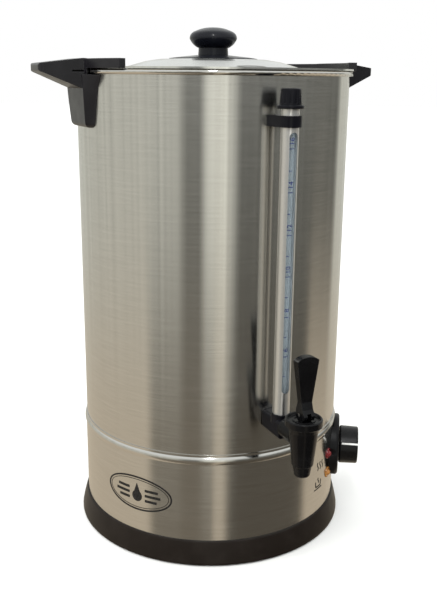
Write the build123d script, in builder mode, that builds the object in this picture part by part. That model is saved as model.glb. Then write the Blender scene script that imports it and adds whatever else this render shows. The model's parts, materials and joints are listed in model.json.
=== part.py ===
from build123d import *
import os
from math import cos, radians, sin, tan

# Electric brew kettle.  Millimetres.  The kettle stands on z = 0 with its axis on Z,
# the tap and the sight gauge face -Y, the two handles lie on +X and -X and the mains
# inlet is at the back, on +Y.

# ---------------------------------------------------------------- driving dimensions
# Vessel: a straight stainless tube with a floor and a wired rim
BODY_R = 133.0
WALL = 1.0
FLOOR_Z = 105.0
FLOOR_THICK = 1.2
FLOOR_CORNER = 4.0
VESSEL_FOOT_Z = 97.0
RIM_Z = 459.7
BEAD_R = 2.4
BEAD_CENTRE_R = 134.4

# Casing under the vessel
SKIRT_R = 134.0
SKIRT_WALL = 0.9
SKIRT_FOOT_Z = 8.0
SEAM_Z = 107.4
SEAM_R = 6.4
SEAM_PROUD = 1.1
SEAM_LIP = 0.6
SEAM_TOP_Z = 113.6
BASE_TOP_Z = 24.0
BASE_TOP_R = 135.0
BASE_FOOT_R = 140.5
BASE_FOOT_Z = 1.5
PLATE_R = 129.5
PLATE_Z = 3.0
PLATE_THICK = 1.0
BASE_FIXING_R = 121.0
FOOT_R = 8.5

# Handles, which hook over the rim
HANDLE_TIP_R = 176.0
HANDLE_KNEE_R = 137.5
HANDLE_TIP_HALF = 17.5
HANDLE_KNEE_HALF = 25.0
HANDLE_TOP_Z = 471.1
HANDLE_UNDER_Z = 444.8
TIP_TOP_Z = 466.3
TIP_FOOT_Z = 459.7
LIP_INNER_R = 131.6
LIP_OUTER_R = 139.5
LIP_Z = 462.5
LIP_TOP_Z = 470.6
LIP_SPAN = 30.8
RIM_SLOT_R = 137.6
RIM_SLOT_Z = 456.8
COLLAR_Z = 452.0
COLLAR_SPAN = 12.0
LEG_Z = (410.0, 441.0, 457.0)
LEG_FACE_R = (137.1, 139.3, 140.0)
LEG_HALF = (22.9, 26.2, 26.8)
LEG_WALL_HALF = (33.0, 37.6, 42.6)
LEG_WALL_R = 125.0
LEG_INNER_R = 118.0
LEG_ROUND = 5.0
HANDLE_SCREW_Z = (424.0, 446.0)

# Lid
LID_R = 137.0
LID_SHEET = 1.0
LID_Z = 462.7
LID_RELIEF_R = 131.05
LID_RELIEF_SPAN = 32.6
LID_CROWN_Z = 472.3
VENT_R = 82.5
VENT_LENGTH = 29.0
VENT_WIDTH = 3.4

# Tap and sight gauge
TAP_Z = 150.5
TAP_AXIS_R = 195.6
SHANK_R = 6.0
SHANK_BORE_R = 4.2
GAUGE_R = 155.0
COVER_R = 7.8
COVER_WALL = 0.8
COVER_Z = 158.4
COVER_TOP_Z = 441.0
SLOT_Z = (181.5, 412.0)
SLOT_HALF = 3.8
GLASS_R = 5.0
GLASS_WALL = 1.2
GLASS_Z = 158.3
GLASS_TOP_Z = 436.0
BRACKET_Z = 416.0
BRACKET_TALL = 9.5
CAP_Z = 431.0
CAP_TOP_Z = 447.5
LEVER_PIN_Z = 175.0
CAM_R = 5.5
CAM_RISE = 2.6

# Control panel on the casing
KNOB_AZ = -33.0
KNOB_Z = 74.5
BEZEL_R = 32.5
BEZEL_FACE_R = 140.0
KNOB_R = 20.0
KNOB_LENGTH = 20.0
LAMP_AZ = (-48.3, -48.8)
LAMP_Z = (78.8, 58.2)
LAMP_R = 5.6
INLET_Z = 62.0

# Clearances: between fitted parts, between sheet and its fixings, and round moving parts
FIT = 0.05
SHEET_FIT = 0.1
GAP = 0.3

# Cutting depths that pass right through a sheet wall or a whole fitting
THROUGH = 14.0
CLEAR = 40.0
TALL = 600.0

# ---------------------------------------------------------------- helpers
os.makedirs("parts", exist_ok=True)


def outward(azimuth, radius, z):
    """Plane that faces out of the kettle, with its x axis level and its y axis up."""
    a = radians(azimuth)
    return Plane(
        origin=(radius * cos(a), radius * sin(a), z),
        x_dir=(-sin(a), cos(a), 0),
        z_dir=(cos(a), sin(a), 0),
    )


def upright(radius, z, azimuth=-90.0):
    """Level plane at a distance from the kettle's axis, its x axis along the tangent."""
    a = radians(azimuth)
    return Plane(
        origin=(radius * cos(a), radius * sin(a), z),
        x_dir=(-sin(a), cos(a), 0),
        z_dir=(0, 0, 1),
    )


def round_core(radius, low=0.0, high=TALL):
    """Solid cylinder about the kettle's axis, to cut a seat that fits a round wall."""
    return Pos(0, 0, (low + high) / 2) * Cylinder(radius, high - low, mode=Mode.PRIVATE)


def save(solid, name):
    solid.label = name
    export_step(solid, f"parts/{name}.step")


# ---------------------------------------------------------------- vessel
INNER_R = BODY_R - WALL
FLOOR_TOP = FLOOR_Z + FLOOR_THICK
BRACKET_MID_Z = BRACKET_Z + BRACKET_TALL / 2
BRACKET_HOLE_R = 2.2
HANDLE_HOLE_R = 2.7
HANDLE_AZ = (0, 180)

with BuildPart() as vessel:
    with BuildSketch(Plane.XZ):
        with BuildLine():
            Polyline(
                (0, FLOOR_Z),
                (INNER_R, FLOOR_Z),
                (INNER_R, VESSEL_FOOT_Z),
                (BODY_R, VESSEL_FOOT_Z),
                (BODY_R, RIM_Z),
                (INNER_R, RIM_Z),
                (INNER_R, FLOOR_TOP + FLOOR_CORNER),
            )
            RadiusArc(
                (INNER_R, FLOOR_TOP + FLOOR_CORNER),
                (INNER_R - FLOOR_CORNER, FLOOR_TOP),
                FLOOR_CORNER,
            )
            Line((INNER_R - FLOOR_CORNER, FLOOR_TOP), (0, FLOOR_TOP))
            Line((0, FLOOR_TOP), (0, FLOOR_Z))
        make_face()
    revolve(axis=Axis.Z)
    with BuildSketch(Plane.XZ):
        with Locations((BEAD_CENTRE_R, RIM_Z)):
            Circle(BEAD_R)
    revolve(axis=Axis.Z)
    with Locations(outward(-90, BODY_R, TAP_Z).location):
        Cylinder(SHANK_R + GAP, THROUGH, mode=Mode.SUBTRACT)
    with Locations(outward(-90, BODY_R, BRACKET_MID_Z).location):
        Cylinder(BRACKET_HOLE_R, THROUGH, mode=Mode.SUBTRACT)
    for azimuth in HANDLE_AZ:
        for z in HANDLE_SCREW_Z:
            with Locations(outward(azimuth, BODY_R, z).location):
                Cylinder(HANDLE_HOLE_R, THROUGH, mode=Mode.SUBTRACT)
save(vessel.part, "vessel")

# ---------------------------------------------------------------- casing skirt
SKIRT_INNER_R = SKIRT_R - SKIRT_WALL
INLET_HOLE = (28.0, 21.0)
INLET_SCREW_X = (-20.0, 20.0)
INLET_SCREW_HOLE_R = 1.8
BUSH_HOLE_R = 5.2
LAMP_HOLE_R = 4.8

with BuildPart() as lower_skirt:
    with BuildSketch(Plane.XZ):
        with Locations(((SKIRT_INNER_R + SKIRT_R) / 2, (SKIRT_FOOT_Z + SEAM_Z) / 2)):
            Rectangle(SKIRT_WALL, SEAM_Z - SKIRT_FOOT_Z)
        with Locations((SKIRT_R + SEAM_PROUD - SEAM_R, SEAM_Z)):
            Circle(SEAM_R)
        with Locations((SKIRT_INNER_R + SEAM_LIP / 2, (SEAM_Z + SEAM_TOP_Z) / 2)):
            Rectangle(SEAM_LIP, SEAM_TOP_Z - SEAM_Z)
        with Locations((SKIRT_INNER_R - SEAM_R, SEAM_Z)):
            Rectangle(2 * SEAM_R, 4 * SEAM_R, mode=Mode.SUBTRACT)
    revolve(axis=Axis.Z)
    with Locations(outward(KNOB_AZ, SKIRT_R, KNOB_Z).location):
        Cylinder(BUSH_HOLE_R, THROUGH, mode=Mode.SUBTRACT)
    for azimuth, z in zip(LAMP_AZ, LAMP_Z):
        with Locations(outward(azimuth, SKIRT_R, z).location):
            Cylinder(LAMP_HOLE_R, THROUGH, mode=Mode.SUBTRACT)
    with Locations(outward(90, SKIRT_R, INLET_Z).location):
        Box(*INLET_HOLE, THROUGH, mode=Mode.SUBTRACT)
        with Locations(*((x, 0) for x in INLET_SCREW_X)):
            Cylinder(INLET_SCREW_HOLE_R, THROUGH, mode=Mode.SUBTRACT)
save(lower_skirt.part, "lower_skirt")

# ---------------------------------------------------------------- base ring and plate
FIXING_AZ = (45, 135, 225, 315)
FOOT_AZ = (0, 90, 180, 270)
FLANGE_Z = PLATE_Z + PLATE_THICK
FLANGE_TOP = FLANGE_Z + 3.0
FLANGE_INNER_R = 114.0
PLATE_SEAT_R = PLATE_R + 0.5
TOE_Z = BASE_FOOT_Z + 2.0
BULGE = (138.4, 13.0)
LIP_FOOT = (BASE_TOP_R + 0.7, BASE_TOP_Z - 1.2)
GROOVE_OUTER_R = SKIRT_R + SHEET_FIT
GROOVE_INNER_R = SKIRT_INNER_R - 2 * SHEET_FIT
GROOVE_TOP_Z = BASE_TOP_Z - 6.0
GROOVE_WALL = 2.0
GROOVE_FOOT_WALL = 3.0
BOSS_R = 5.0
BOSS_TOP = 16.0
PILOT_R = 1.9
PILOT_Z = FLANGE_Z + 5.0
PILOT_LONG = 12.0
FOOT_HOLE_R = 3.1

with BuildPart() as base_ring:
    with BuildSketch(Plane.XZ):
        with BuildLine():
            Polyline(
                (FLANGE_INNER_R, FLANGE_Z),
                (PLATE_SEAT_R, FLANGE_Z),
                (PLATE_SEAT_R, BASE_FOOT_Z),
                (BASE_FOOT_R, BASE_FOOT_Z),
                (BASE_FOOT_R, TOE_Z),
            )
            ThreePointArc((BASE_FOOT_R, TOE_Z), BULGE, LIP_FOOT)
            Polyline(
                LIP_FOOT,
                (BASE_TOP_R, BASE_TOP_Z),
                (GROOVE_OUTER_R, BASE_TOP_Z),
                (GROOVE_OUTER_R, SKIRT_FOOT_Z),
                (GROOVE_INNER_R, SKIRT_FOOT_Z),
                (GROOVE_INNER_R, GROOVE_TOP_Z),
                (GROOVE_INNER_R - GROOVE_WALL, GROOVE_TOP_Z),
                (GROOVE_INNER_R - GROOVE_FOOT_WALL, FLANGE_TOP),
                (FLANGE_INNER_R, FLANGE_TOP),
                (FLANGE_INNER_R, FLANGE_Z),
            )
        make_face()
    revolve(axis=Axis.Z)
    for azimuth in FIXING_AZ:
        with BuildSketch(upright(BASE_FIXING_R, FLANGE_Z, azimuth)):
            Circle(BOSS_R)
        extrude(amount=BOSS_TOP - FLANGE_Z)
        with Locations(upright(BASE_FIXING_R, PILOT_Z, azimuth).location):
            Cylinder(PILOT_R, PILOT_LONG, mode=Mode.SUBTRACT)
    for azimuth in FOOT_AZ:
        with Locations(upright(BASE_FIXING_R, FLANGE_Z, azimuth).location):
            Cylinder(FOOT_HOLE_R, THROUGH, mode=Mode.SUBTRACT)
save(base_ring.part, "base_ring")

VENT_ROWS = ((60.0, 12), (80.0, 16), (98.0, 20))
VENT_SLOT = (14.0, 4.0)
PLATE_HOLE_R = 2.2

with BuildPart() as base_plate:
    with BuildSketch(Plane.XY.offset(PLATE_Z)):
        Circle(PLATE_R)
        for radius, count in VENT_ROWS:
            with PolarLocations(radius, count):
                SlotOverall(*VENT_SLOT, mode=Mode.SUBTRACT)
        with PolarLocations(BASE_FIXING_R, len(FIXING_AZ), start_angle=FIXING_AZ[0]):
            Circle(PLATE_HOLE_R, mode=Mode.SUBTRACT)
        with PolarLocations(BASE_FIXING_R, len(FOOT_AZ)):
            Circle(FOOT_HOLE_R, mode=Mode.SUBTRACT)
    extrude(amount=PLATE_THICK)
save(base_plate.part, "base_plate")

FOOT_SOLE_R = FOOT_R - 1.0
FOOT_TAPER = 12
FOOT_NECK_R = 3.0
FOOT_BARB_R = 4.4
FOOT_BARB_TALL = 3.5
FOOT_BARB_TAPER = 25
FOOT_BARB_Z = FLANGE_TOP + SHEET_FIT
OVERLAP = 0.5

with BuildPart() as base_feet:
    with BuildSketch(Plane.XY):
        with PolarLocations(BASE_FIXING_R, len(FOOT_AZ)):
            Circle(FOOT_SOLE_R)
    extrude(amount=PLATE_Z, taper=-FOOT_TAPER)
    with BuildSketch(Plane.XY.offset(PLATE_Z - OVERLAP)):
        with PolarLocations(BASE_FIXING_R, len(FOOT_AZ)):
            Circle(FOOT_NECK_R)
    extrude(amount=FOOT_BARB_Z - PLATE_Z + 2 * OVERLAP)
    with BuildSketch(Plane.XY.offset(FOOT_BARB_Z)):
        with PolarLocations(BASE_FIXING_R, len(FOOT_AZ)):
            Circle(FOOT_BARB_R)
    extrude(amount=FOOT_BARB_TALL, taper=FOOT_BARB_TAPER)
save(base_feet.part, "base_feet")

# ---------------------------------------------------------------- heating
HEAT_PLATE_R = 92.0
HEAT_PLATE_THICK = 5.0
ELEMENT_R = 74.0
TUBE_R = 4.0
HEAT_PLATE_Z = FLOOR_Z - HEAT_PLATE_THICK
ELEMENT_Z = HEAT_PLATE_Z - TUBE_R
ELEMENT_ENDS = (60, 120)
ELEMENT_ARC = 300
PLATE_CHAMFER = 1.5
TERMINAL_Z = 78.0
TERMINAL_R = 3.2
TERMINAL_TALL = 4.0
BLADE = (6.3, 0.8)
BLADE_LONG = 10.0

with BuildPart() as heat_plate:
    with BuildSketch(Plane.XY.offset(HEAT_PLATE_Z)):
        Circle(HEAT_PLATE_R)
    extrude(amount=HEAT_PLATE_THICK)
    chamfer(heat_plate.edges().group_by(Axis.Z)[0], PLATE_CHAMFER)
save(heat_plate.part, "heat_plate")

with BuildPart() as heating_element:
    with BuildSketch(Plane.XZ.rotated((0, 0, ELEMENT_ENDS[1]))):
        with Locations((ELEMENT_R, ELEMENT_Z)):
            Circle(TUBE_R)
    revolve(axis=Axis.Z, revolution_arc=ELEMENT_ARC)
    for azimuth in ELEMENT_ENDS:
        with Locations(upright(ELEMENT_R, ELEMENT_Z, azimuth).location):
            Sphere(TUBE_R)
        with BuildSketch(upright(ELEMENT_R, TERMINAL_Z + TERMINAL_TALL, azimuth)):
            Circle(TUBE_R)
        extrude(amount=ELEMENT_Z - TERMINAL_Z - TERMINAL_TALL)
save(heating_element.part, "heating_element")

with BuildPart() as element_terminals:
    for azimuth in ELEMENT_ENDS:
        with BuildSketch(upright(ELEMENT_R, TERMINAL_Z, azimuth)):
            Circle(TERMINAL_R)
        extrude(amount=TERMINAL_TALL)
        with BuildSketch(upright(ELEMENT_R, TERMINAL_Z + 2 * OVERLAP, azimuth)):
            Rectangle(*BLADE)
        extrude(amount=-BLADE_LONG)
save(element_terminals.part, "element_terminals")

CUTOUT_AZ = 200.0
CUTOUT_AT = 34.0
CUTOUT_R = 8.0
CUTOUT_TALL = 9.0
CUTOUT_TOP_Z = HEAT_PLATE_Z - 0.2
CUTOUT_FOOT_Z = CUTOUT_TOP_Z - CUTOUT_TALL
CUTOUT_BLADES = (-4.5, 4.5)
CUTOUT_BLADE_LONG = 8.5

with BuildPart() as thermal_cutout:
    with BuildSketch(upright(CUTOUT_AT, CUTOUT_FOOT_Z, CUTOUT_AZ)):
        Circle(CUTOUT_R)
    extrude(amount=CUTOUT_TALL)
    for offset in CUTOUT_BLADES:
        with BuildSketch(upright(CUTOUT_AT + offset, CUTOUT_FOOT_Z + OVERLAP, CUTOUT_AZ)):
            Rectangle(*BLADE)
        extrude(amount=-CUTOUT_BLADE_LONG)
save(thermal_cutout.part, "thermal_cutout")

CLAMP = (34.0, 12.0, 3.0)
CLAMP_THICK = 1.2
CLAMP_Z = HEAT_PLATE_Z - 3.0
CLAMP_NUT_R = 3.2
CLAMP_NUT_X = (-13.0, 13.0)
CLAMP_NUT_TALL = 5.0

with BuildPart() as cutout_clamp:
    with BuildSketch(upright(CUTOUT_AT, CLAMP_Z, CUTOUT_AZ)):
        RectangleRounded(*CLAMP)
        Circle(CUTOUT_R + 2 * SHEET_FIT, mode=Mode.SUBTRACT)
    extrude(amount=CLAMP_THICK)
    for offset in CLAMP_NUT_X:
        with BuildSketch(upright(CUTOUT_AT, HEAT_PLATE_Z - CLAMP_NUT_TALL, CUTOUT_AZ)):
            with Locations((offset, 0)):
                RegularPolygon(CLAMP_NUT_R, 6)
        extrude(amount=CLAMP_NUT_TALL)
save(cutout_clamp.part, "cutout_clamp")

# ---------------------------------------------------------------- thermostat
THERMO_BACK = 99.0
THERMO_FRONT = 126.0
THERMO_CASE = (34.0, 30.0, 2.0)
THERMO_BLADES = ((-9.0, 5.0), (9.0, 5.0))
THERMO_BLADE_LONG = 8.0
BUSH_R = 5.0
BUSH_START_R = THERMO_FRONT - 1.5
BUSH_END_R = SKIRT_R + 4.2
SHAFT_R = 3.0
SHAFT_START_R = THERMO_FRONT - 11.0
SHAFT_END_R = BEZEL_FACE_R + 14.0
BEARING_START_R = THERMO_FRONT - 12.0

with BuildPart() as thermostat:
    with BuildSketch(outward(KNOB_AZ, THERMO_BACK, KNOB_Z)):
        RectangleRounded(*THERMO_CASE)
    extrude(amount=THERMO_FRONT - THERMO_BACK - 1)
    with BuildSketch(outward(KNOB_AZ, BUSH_START_R, KNOB_Z)):
        Circle(BUSH_R)
    extrude(amount=BUSH_END_R - BUSH_START_R)
    with BuildSketch(outward(KNOB_AZ, BEARING_START_R, KNOB_Z)):
        Circle(SHAFT_R + FIT)
    extrude(amount=CLEAR, mode=Mode.SUBTRACT)
    with BuildSketch(outward(KNOB_AZ, THERMO_BACK + 2 * OVERLAP, KNOB_Z)):
        with Locations(*THERMO_BLADES):
            Rectangle(BLADE[1], BLADE[0])
    extrude(amount=-THERMO_BLADE_LONG - 2 * OVERLAP)
save(thermostat.part, "thermostat")

BRACKET_SHEET = 1.2
BRACKET_PLATE = (44.0, 26.0)
BRACKET_PLATE_R = THERMO_FRONT - 0.9
BRACKET_WING = 8.0

with BuildPart() as thermostat_bracket:
    with BuildSketch(outward(KNOB_AZ, BRACKET_PLATE_R, KNOB_Z)):
        Rectangle(*BRACKET_PLATE)
        Circle(BUSH_R + GAP, mode=Mode.SUBTRACT)
    extrude(amount=BRACKET_SHEET)
    with BuildSketch(outward(KNOB_AZ, BRACKET_PLATE_R, KNOB_Z)):
        with Locations((-BRACKET_PLATE[0] / 2, 0), (BRACKET_PLATE[0] / 2, 0)):
            Rectangle(BRACKET_SHEET, BRACKET_PLATE[1])
    extrude(amount=BRACKET_WING)
    add(round_core(SKIRT_INNER_R - SHEET_FIT), mode=Mode.INTERSECT)
save(thermostat_bracket.part, "thermostat_bracket")

BUSH_NUT_R = 8.0
BUSH_NUT_THICK = 3.0
BUSH_NUT_AT = SKIRT_R + 0.6

with BuildPart() as thermostat_nut:
    with BuildSketch(outward(KNOB_AZ, BUSH_NUT_AT, KNOB_Z)):
        RegularPolygon(BUSH_NUT_R, 6)
        Circle(BUSH_R + FIT, mode=Mode.SUBTRACT)
    extrude(amount=BUSH_NUT_THICK)
save(thermostat_nut.part, "thermostat_nut")

with BuildPart() as thermostat_shaft:
    with BuildSketch(outward(KNOB_AZ, SHAFT_START_R, KNOB_Z)):
        Circle(SHAFT_R)
    extrude(amount=SHAFT_END_R - SHAFT_START_R)
save(thermostat_shaft.part, "thermostat_shaft")

BULB_R = 3.0
BULB_X = 45.0
BULB_Y = (-22.0, 34.0)
BULB_Z = HEAT_PLATE_Z - BULB_R - 2 * SHEET_FIT

with BuildPart() as thermostat_bulb:
    with BuildSketch(Plane.XZ.offset(-BULB_Y[0])):
        with Locations((BULB_X, BULB_Z)):
            Circle(BULB_R)
    extrude(amount=BULB_Y[0] - BULB_Y[1])
save(thermostat_bulb.part, "thermostat_bulb")

CLIP_Y = (-12.0, 22.0)
CLIP_WIDE = 6.0
CLIP_SHEET = 1.1
CLIP_OUTER_R = BULB_R + SHEET_FIT + CLIP_SHEET
CLIP_TAB = 8.0
CLIP_TAB_X = 7.6

with BuildPart() as bulb_clip:
    for y in CLIP_Y:
        with BuildSketch(Plane.XZ.offset(-y)):
            with Locations((BULB_X, BULB_Z)):
                Circle(CLIP_OUTER_R)
                Circle(BULB_R + SHEET_FIT, mode=Mode.SUBTRACT)
            with Locations((BULB_X, HEAT_PLATE_Z + CLIP_OUTER_R)):
                Rectangle(4 * CLIP_OUTER_R, 2 * CLIP_OUTER_R, mode=Mode.SUBTRACT)
            for side in (-1, 1):
                with Locations((BULB_X + side * CLIP_TAB_X, HEAT_PLATE_Z - CLIP_SHEET / 2)):
                    Rectangle(CLIP_TAB, CLIP_SHEET)
        extrude(amount=CLIP_WIDE)
save(bulb_clip.part, "bulb_clip")

CAPILLARY_R = 0.9
CAPILLARY_BEND_R = 4.5
thermo_seat = outward(KNOB_AZ, THERMO_BACK, KNOB_Z)

with BuildPart() as capillary:
    with BuildLine() as capillary_path:
        FilletPolyline(
            thermo_seat.from_local_coords((0, -9, 0)),
            thermo_seat.from_local_coords((0, -9, -12)),
            (58, -50, 70),
            (45, -42, 84),
            (BULB_X, -34, BULB_Z),
            (BULB_X, BULB_Y[0], BULB_Z),
            radius=CAPILLARY_BEND_R,
        )
    with BuildSketch(Plane(capillary_path.line @ 0, z_dir=capillary_path.line % 0)):
        Circle(CAPILLARY_R)
    sweep()
save(capillary.part, "capillary")

# ---------------------------------------------------------------- control knob and lamps
BEZEL_BACK = SKIRT_R - 6.0
BEZEL_ROUND = 3.0
NUT_SEAT_R = 9.5
NUT_SEAT_DEEP = 10.5
SHAFT_HOLE_R = 3.6
BEAD_RELIEF_R = SKIRT_R + SEAM_PROUD + SHEET_FIT
BEAD_RELIEF_Z = SEAM_Z - SEAM_R - SHEET_FIT
knob_far = outward(KNOB_AZ, BEZEL_FACE_R + BEZEL_R, KNOB_Z)
knob_near = outward(KNOB_AZ, 0, KNOB_Z)

with BuildPart() as knob_bezel:
    with BuildSketch(outward(KNOB_AZ, BEZEL_BACK, KNOB_Z)):
        Circle(BEZEL_R)
    extrude(amount=BEZEL_FACE_R - BEZEL_BACK)
    bezel_rims = knob_bezel.edges().filter_by(GeomType.CIRCLE)
    fillet(bezel_rims.sort_by_distance(knob_far.origin)[0], BEZEL_ROUND)
    with BuildSketch(outward(KNOB_AZ, BEZEL_BACK, KNOB_Z)):
        Circle(NUT_SEAT_R)
    extrude(amount=NUT_SEAT_DEEP, mode=Mode.SUBTRACT)
    with BuildSketch(outward(KNOB_AZ, BEZEL_BACK, KNOB_Z)):
        Circle(SHAFT_HOLE_R)
    extrude(amount=2 * NUT_SEAT_DEEP, mode=Mode.SUBTRACT)
    add(round_core(SKIRT_R + FIT), mode=Mode.SUBTRACT)
    add(round_core(BEAD_RELIEF_R, BEAD_RELIEF_Z), mode=Mode.SUBTRACT)
    for azimuth, z in zip(LAMP_AZ, LAMP_Z):
        with Locations(outward(azimuth, SKIRT_R, z).location):
            Cylinder(LAMP_R + 2 * SHEET_FIT, CLEAR, mode=Mode.SUBTRACT)
save(knob_bezel.part, "knob_bezel")

KNOB_GAP = 0.5
KNOB_TAPER = 1.5
KNOB_BACK_ROUND = 2.2
KNOB_FRONT_ROUND = 2.0
KNOB_BORE = 14.5
POINTER_WIDE = 2.0
POINTER_TURN = -25.0
POINTER_DEEP = 0.8
POINTER_START = 2.8
POINTER_INSET = 3.7
POINTER_SHY = 0.3
POINTER_LONG = KNOB_R - 6.0
POINTER_AT = -KNOB_R / 2 - 1.2
knob_plane = outward(KNOB_AZ, BEZEL_FACE_R + KNOB_GAP, KNOB_Z)
groove = Plane(knob_plane.location * Rot(0, 0, POINTER_TURN))

with BuildPart() as control_knob:
    with BuildSketch(knob_plane):
        Circle(KNOB_R)
    extrude(amount=KNOB_LENGTH, taper=KNOB_TAPER)
    knob_rims = control_knob.edges().filter_by(GeomType.CIRCLE).sort_by_distance(knob_near.origin)
    fillet(knob_rims[-1], KNOB_FRONT_ROUND)
    knob_rims = control_knob.edges().filter_by(GeomType.CIRCLE).sort_by_distance(knob_near.origin)
    fillet(knob_rims[0], KNOB_BACK_ROUND)
    with BuildSketch(groove.offset(POINTER_START)):
        with Locations((-KNOB_R + POINTER_INSET / 2, 0)):
            Rectangle(POINTER_INSET + 1, POINTER_WIDE + SHEET_FIT)
    extrude(amount=KNOB_LENGTH, mode=Mode.SUBTRACT)
    with BuildSketch(groove.offset(KNOB_LENGTH - POINTER_DEEP)):
        with Locations((-KNOB_R / 2, 0)):
            Rectangle(KNOB_R, POINTER_WIDE + SHEET_FIT)
    extrude(amount=2 * POINTER_DEEP, mode=Mode.SUBTRACT)
    with BuildSketch(groove):
        Circle(SHAFT_R + FIT)
    extrude(amount=KNOB_BORE, mode=Mode.SUBTRACT)
save(control_knob.part, "control_knob")

with BuildPart() as knob_pointer:
    with BuildSketch(groove.offset(POINTER_START + FIT)):
        with Locations((-KNOB_R + POINTER_INSET / 2 + POINTER_SHY, 0)):
            Rectangle(POINTER_INSET - POINTER_SHY, POINTER_WIDE)
    extrude(amount=KNOB_LENGTH - POINTER_START - 2 * FIT)
    with BuildSketch(groove.offset(KNOB_LENGTH - POINTER_DEEP + FIT)):
        with Locations((POINTER_AT, 0)):
            Rectangle(POINTER_LONG, POINTER_WIDE)
    extrude(amount=POINTER_DEEP - 2 * FIT)
save(knob_pointer.part, "knob_pointer")

LAMP_NAMES = ("heat_lamp", "warm_lamp")
LAMP_STEM_R = LAMP_HOLE_R - SHEET_FIT
LAMP_START_R = SKIRT_R - 6.0
LAMP_FACE_R = SKIRT_R + 1.2
LAMP_ROUND = 0.9
LAMP_DOME_R = 3.4
LAMP_DOME_AT = SKIRT_R + 0.2

for lamp_name, azimuth, z in zip(LAMP_NAMES, LAMP_AZ, LAMP_Z):
    with BuildPart() as lamp:
        with BuildSketch(outward(azimuth, LAMP_START_R, z)):
            Circle(LAMP_R)
        extrude(amount=LAMP_FACE_R - LAMP_START_R)
        lamp_rims = lamp.edges().filter_by(GeomType.CIRCLE)
        lamp_far = outward(azimuth, SKIRT_R + LAMP_R, z)
        fillet(lamp_rims.sort_by_distance(lamp_far.origin)[0], LAMP_ROUND)
        add(round_core(SKIRT_R + FIT), mode=Mode.SUBTRACT)
        with BuildSketch(outward(azimuth, LAMP_START_R, z)):
            Circle(LAMP_STEM_R)
        extrude(amount=SKIRT_R + 1 - LAMP_START_R)
        with Locations(outward(azimuth, LAMP_DOME_AT, z).location):
            Sphere(LAMP_DOME_R)
    save(lamp.part, lamp_name)

LAMP_CASE_R = 4.9
LAMP_CASE_LONG = 19.8
LAMP_CASE_AT = SKIRT_R - 26.0
LAMP_NUT_R = 7.2
LAMP_NUT_AT = SKIRT_R - 5.0
LAMP_NUT_THICK = 2.6

with BuildPart() as lamp_bodies:
    for azimuth, z in zip(LAMP_AZ, LAMP_Z):
        with BuildSketch(outward(azimuth, LAMP_CASE_AT, z)):
            Circle(LAMP_CASE_R)
        extrude(amount=LAMP_CASE_LONG)
        with BuildSketch(outward(azimuth, LAMP_NUT_AT, z)):
            RegularPolygon(LAMP_NUT_R, 6)
            Circle(LAMP_CASE_R + SHEET_FIT, mode=Mode.SUBTRACT)
        extrude(amount=LAMP_NUT_THICK)
save(lamp_bodies.part, "lamp_bodies")

# ---------------------------------------------------------------- mains inlet
SOCKET = (24.6, 17.2)
SOCKET_FACE = 140.0
SOCKET_FLOOR = 122.5
SOCKET_BACK = 116.0
SOCKET_FLANGE = (50.0, 28.0, 5.0)
SOCKET_FLANGE_BACK = SKIRT_R - 6.0
SOCKET_SHY = 0.6
BLADE_AT = ((-7.0, -2.0), (7.0, -2.0), (0.0, 2.0))
PIN = (2.0, 4.0)
PIN_START = SOCKET_BACK - 9.0
PIN_LONG = 28.0

with BuildPart() as inlet_socket:
    with BuildSketch(outward(90, SOCKET_FLANGE_BACK, INLET_Z)):
        RectangleRounded(*SOCKET_FLANGE)
    extrude(amount=SOCKET_FACE - SOCKET_FLANGE_BACK)
    add(round_core(SKIRT_R + FIT), mode=Mode.SUBTRACT)
    with BuildSketch(outward(90, SOCKET_BACK, INLET_Z)):
        Rectangle(INLET_HOLE[0] - SOCKET_SHY, INLET_HOLE[1] - SOCKET_SHY)
    extrude(amount=SOCKET_FACE - SOCKET_BACK - 1)
    with BuildSketch(outward(90, SOCKET_FLOOR, INLET_Z)):
        Rectangle(*SOCKET)
    extrude(amount=CLEAR, mode=Mode.SUBTRACT)
    with BuildSketch(outward(90, SOCKET_BACK - 1, INLET_Z)):
        with Locations(*BLADE_AT):
            Rectangle(PIN[0] + SHEET_FIT, PIN[1] + SHEET_FIT)
    extrude(amount=SOCKET_FLOOR - SOCKET_BACK + 2, mode=Mode.SUBTRACT)
    with BuildSketch(outward(90, SOCKET_BACK, INLET_Z)):
        with Locations(*((x, 0) for x in INLET_SCREW_X)):
            Circle(INLET_SCREW_HOLE_R)
    extrude(amount=CLEAR, mode=Mode.SUBTRACT)
save(inlet_socket.part, "inlet_socket")

with BuildPart() as inlet_pins:
    with BuildSketch(outward(90, PIN_START, INLET_Z)):
        with Locations(*BLADE_AT):
            Rectangle(*PIN)
    extrude(amount=PIN_LONG)
save(inlet_pins.part, "inlet_pins")

# ---------------------------------------------------------------- handles
HANDLE_WIDE = 40.0
TIP_ROUND = 2.6
TIP_CORNER = 5.0
SLIT = (10.0, 9.0, 1.4)
SLIT_AT = (142.5, 21.5, 460.0)
SCREW_HOLE_R = 2.05
SCREW_HOLE_LONG = 7.0


def leg_section(face_r, half, wall_half):
    """Plan outline of a handle's leg at one height."""
    Polyline(
        (LEG_INNER_R, -wall_half),
        (LEG_WALL_R, -wall_half),
        (face_r, -half),
        (face_r, half),
        (LEG_WALL_R, wall_half),
        (LEG_INNER_R, wall_half),
        close=True,
    )


def arc_band(inner_r, outer_r, span):
    """Outline of a band of a ring, as far as span degrees either side of +X."""
    half_turn = radians(span)
    inner = [(inner_r * cos(a), inner_r * sin(a)) for a in (-half_turn, 0, half_turn)]
    outer = [(outer_r * cos(a), outer_r * sin(a)) for a in (half_turn, 0, -half_turn)]
    ThreePointArc(*inner)
    Line(inner[2], outer[0])
    ThreePointArc(*outer)
    Line(outer[2], inner[0])


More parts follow.
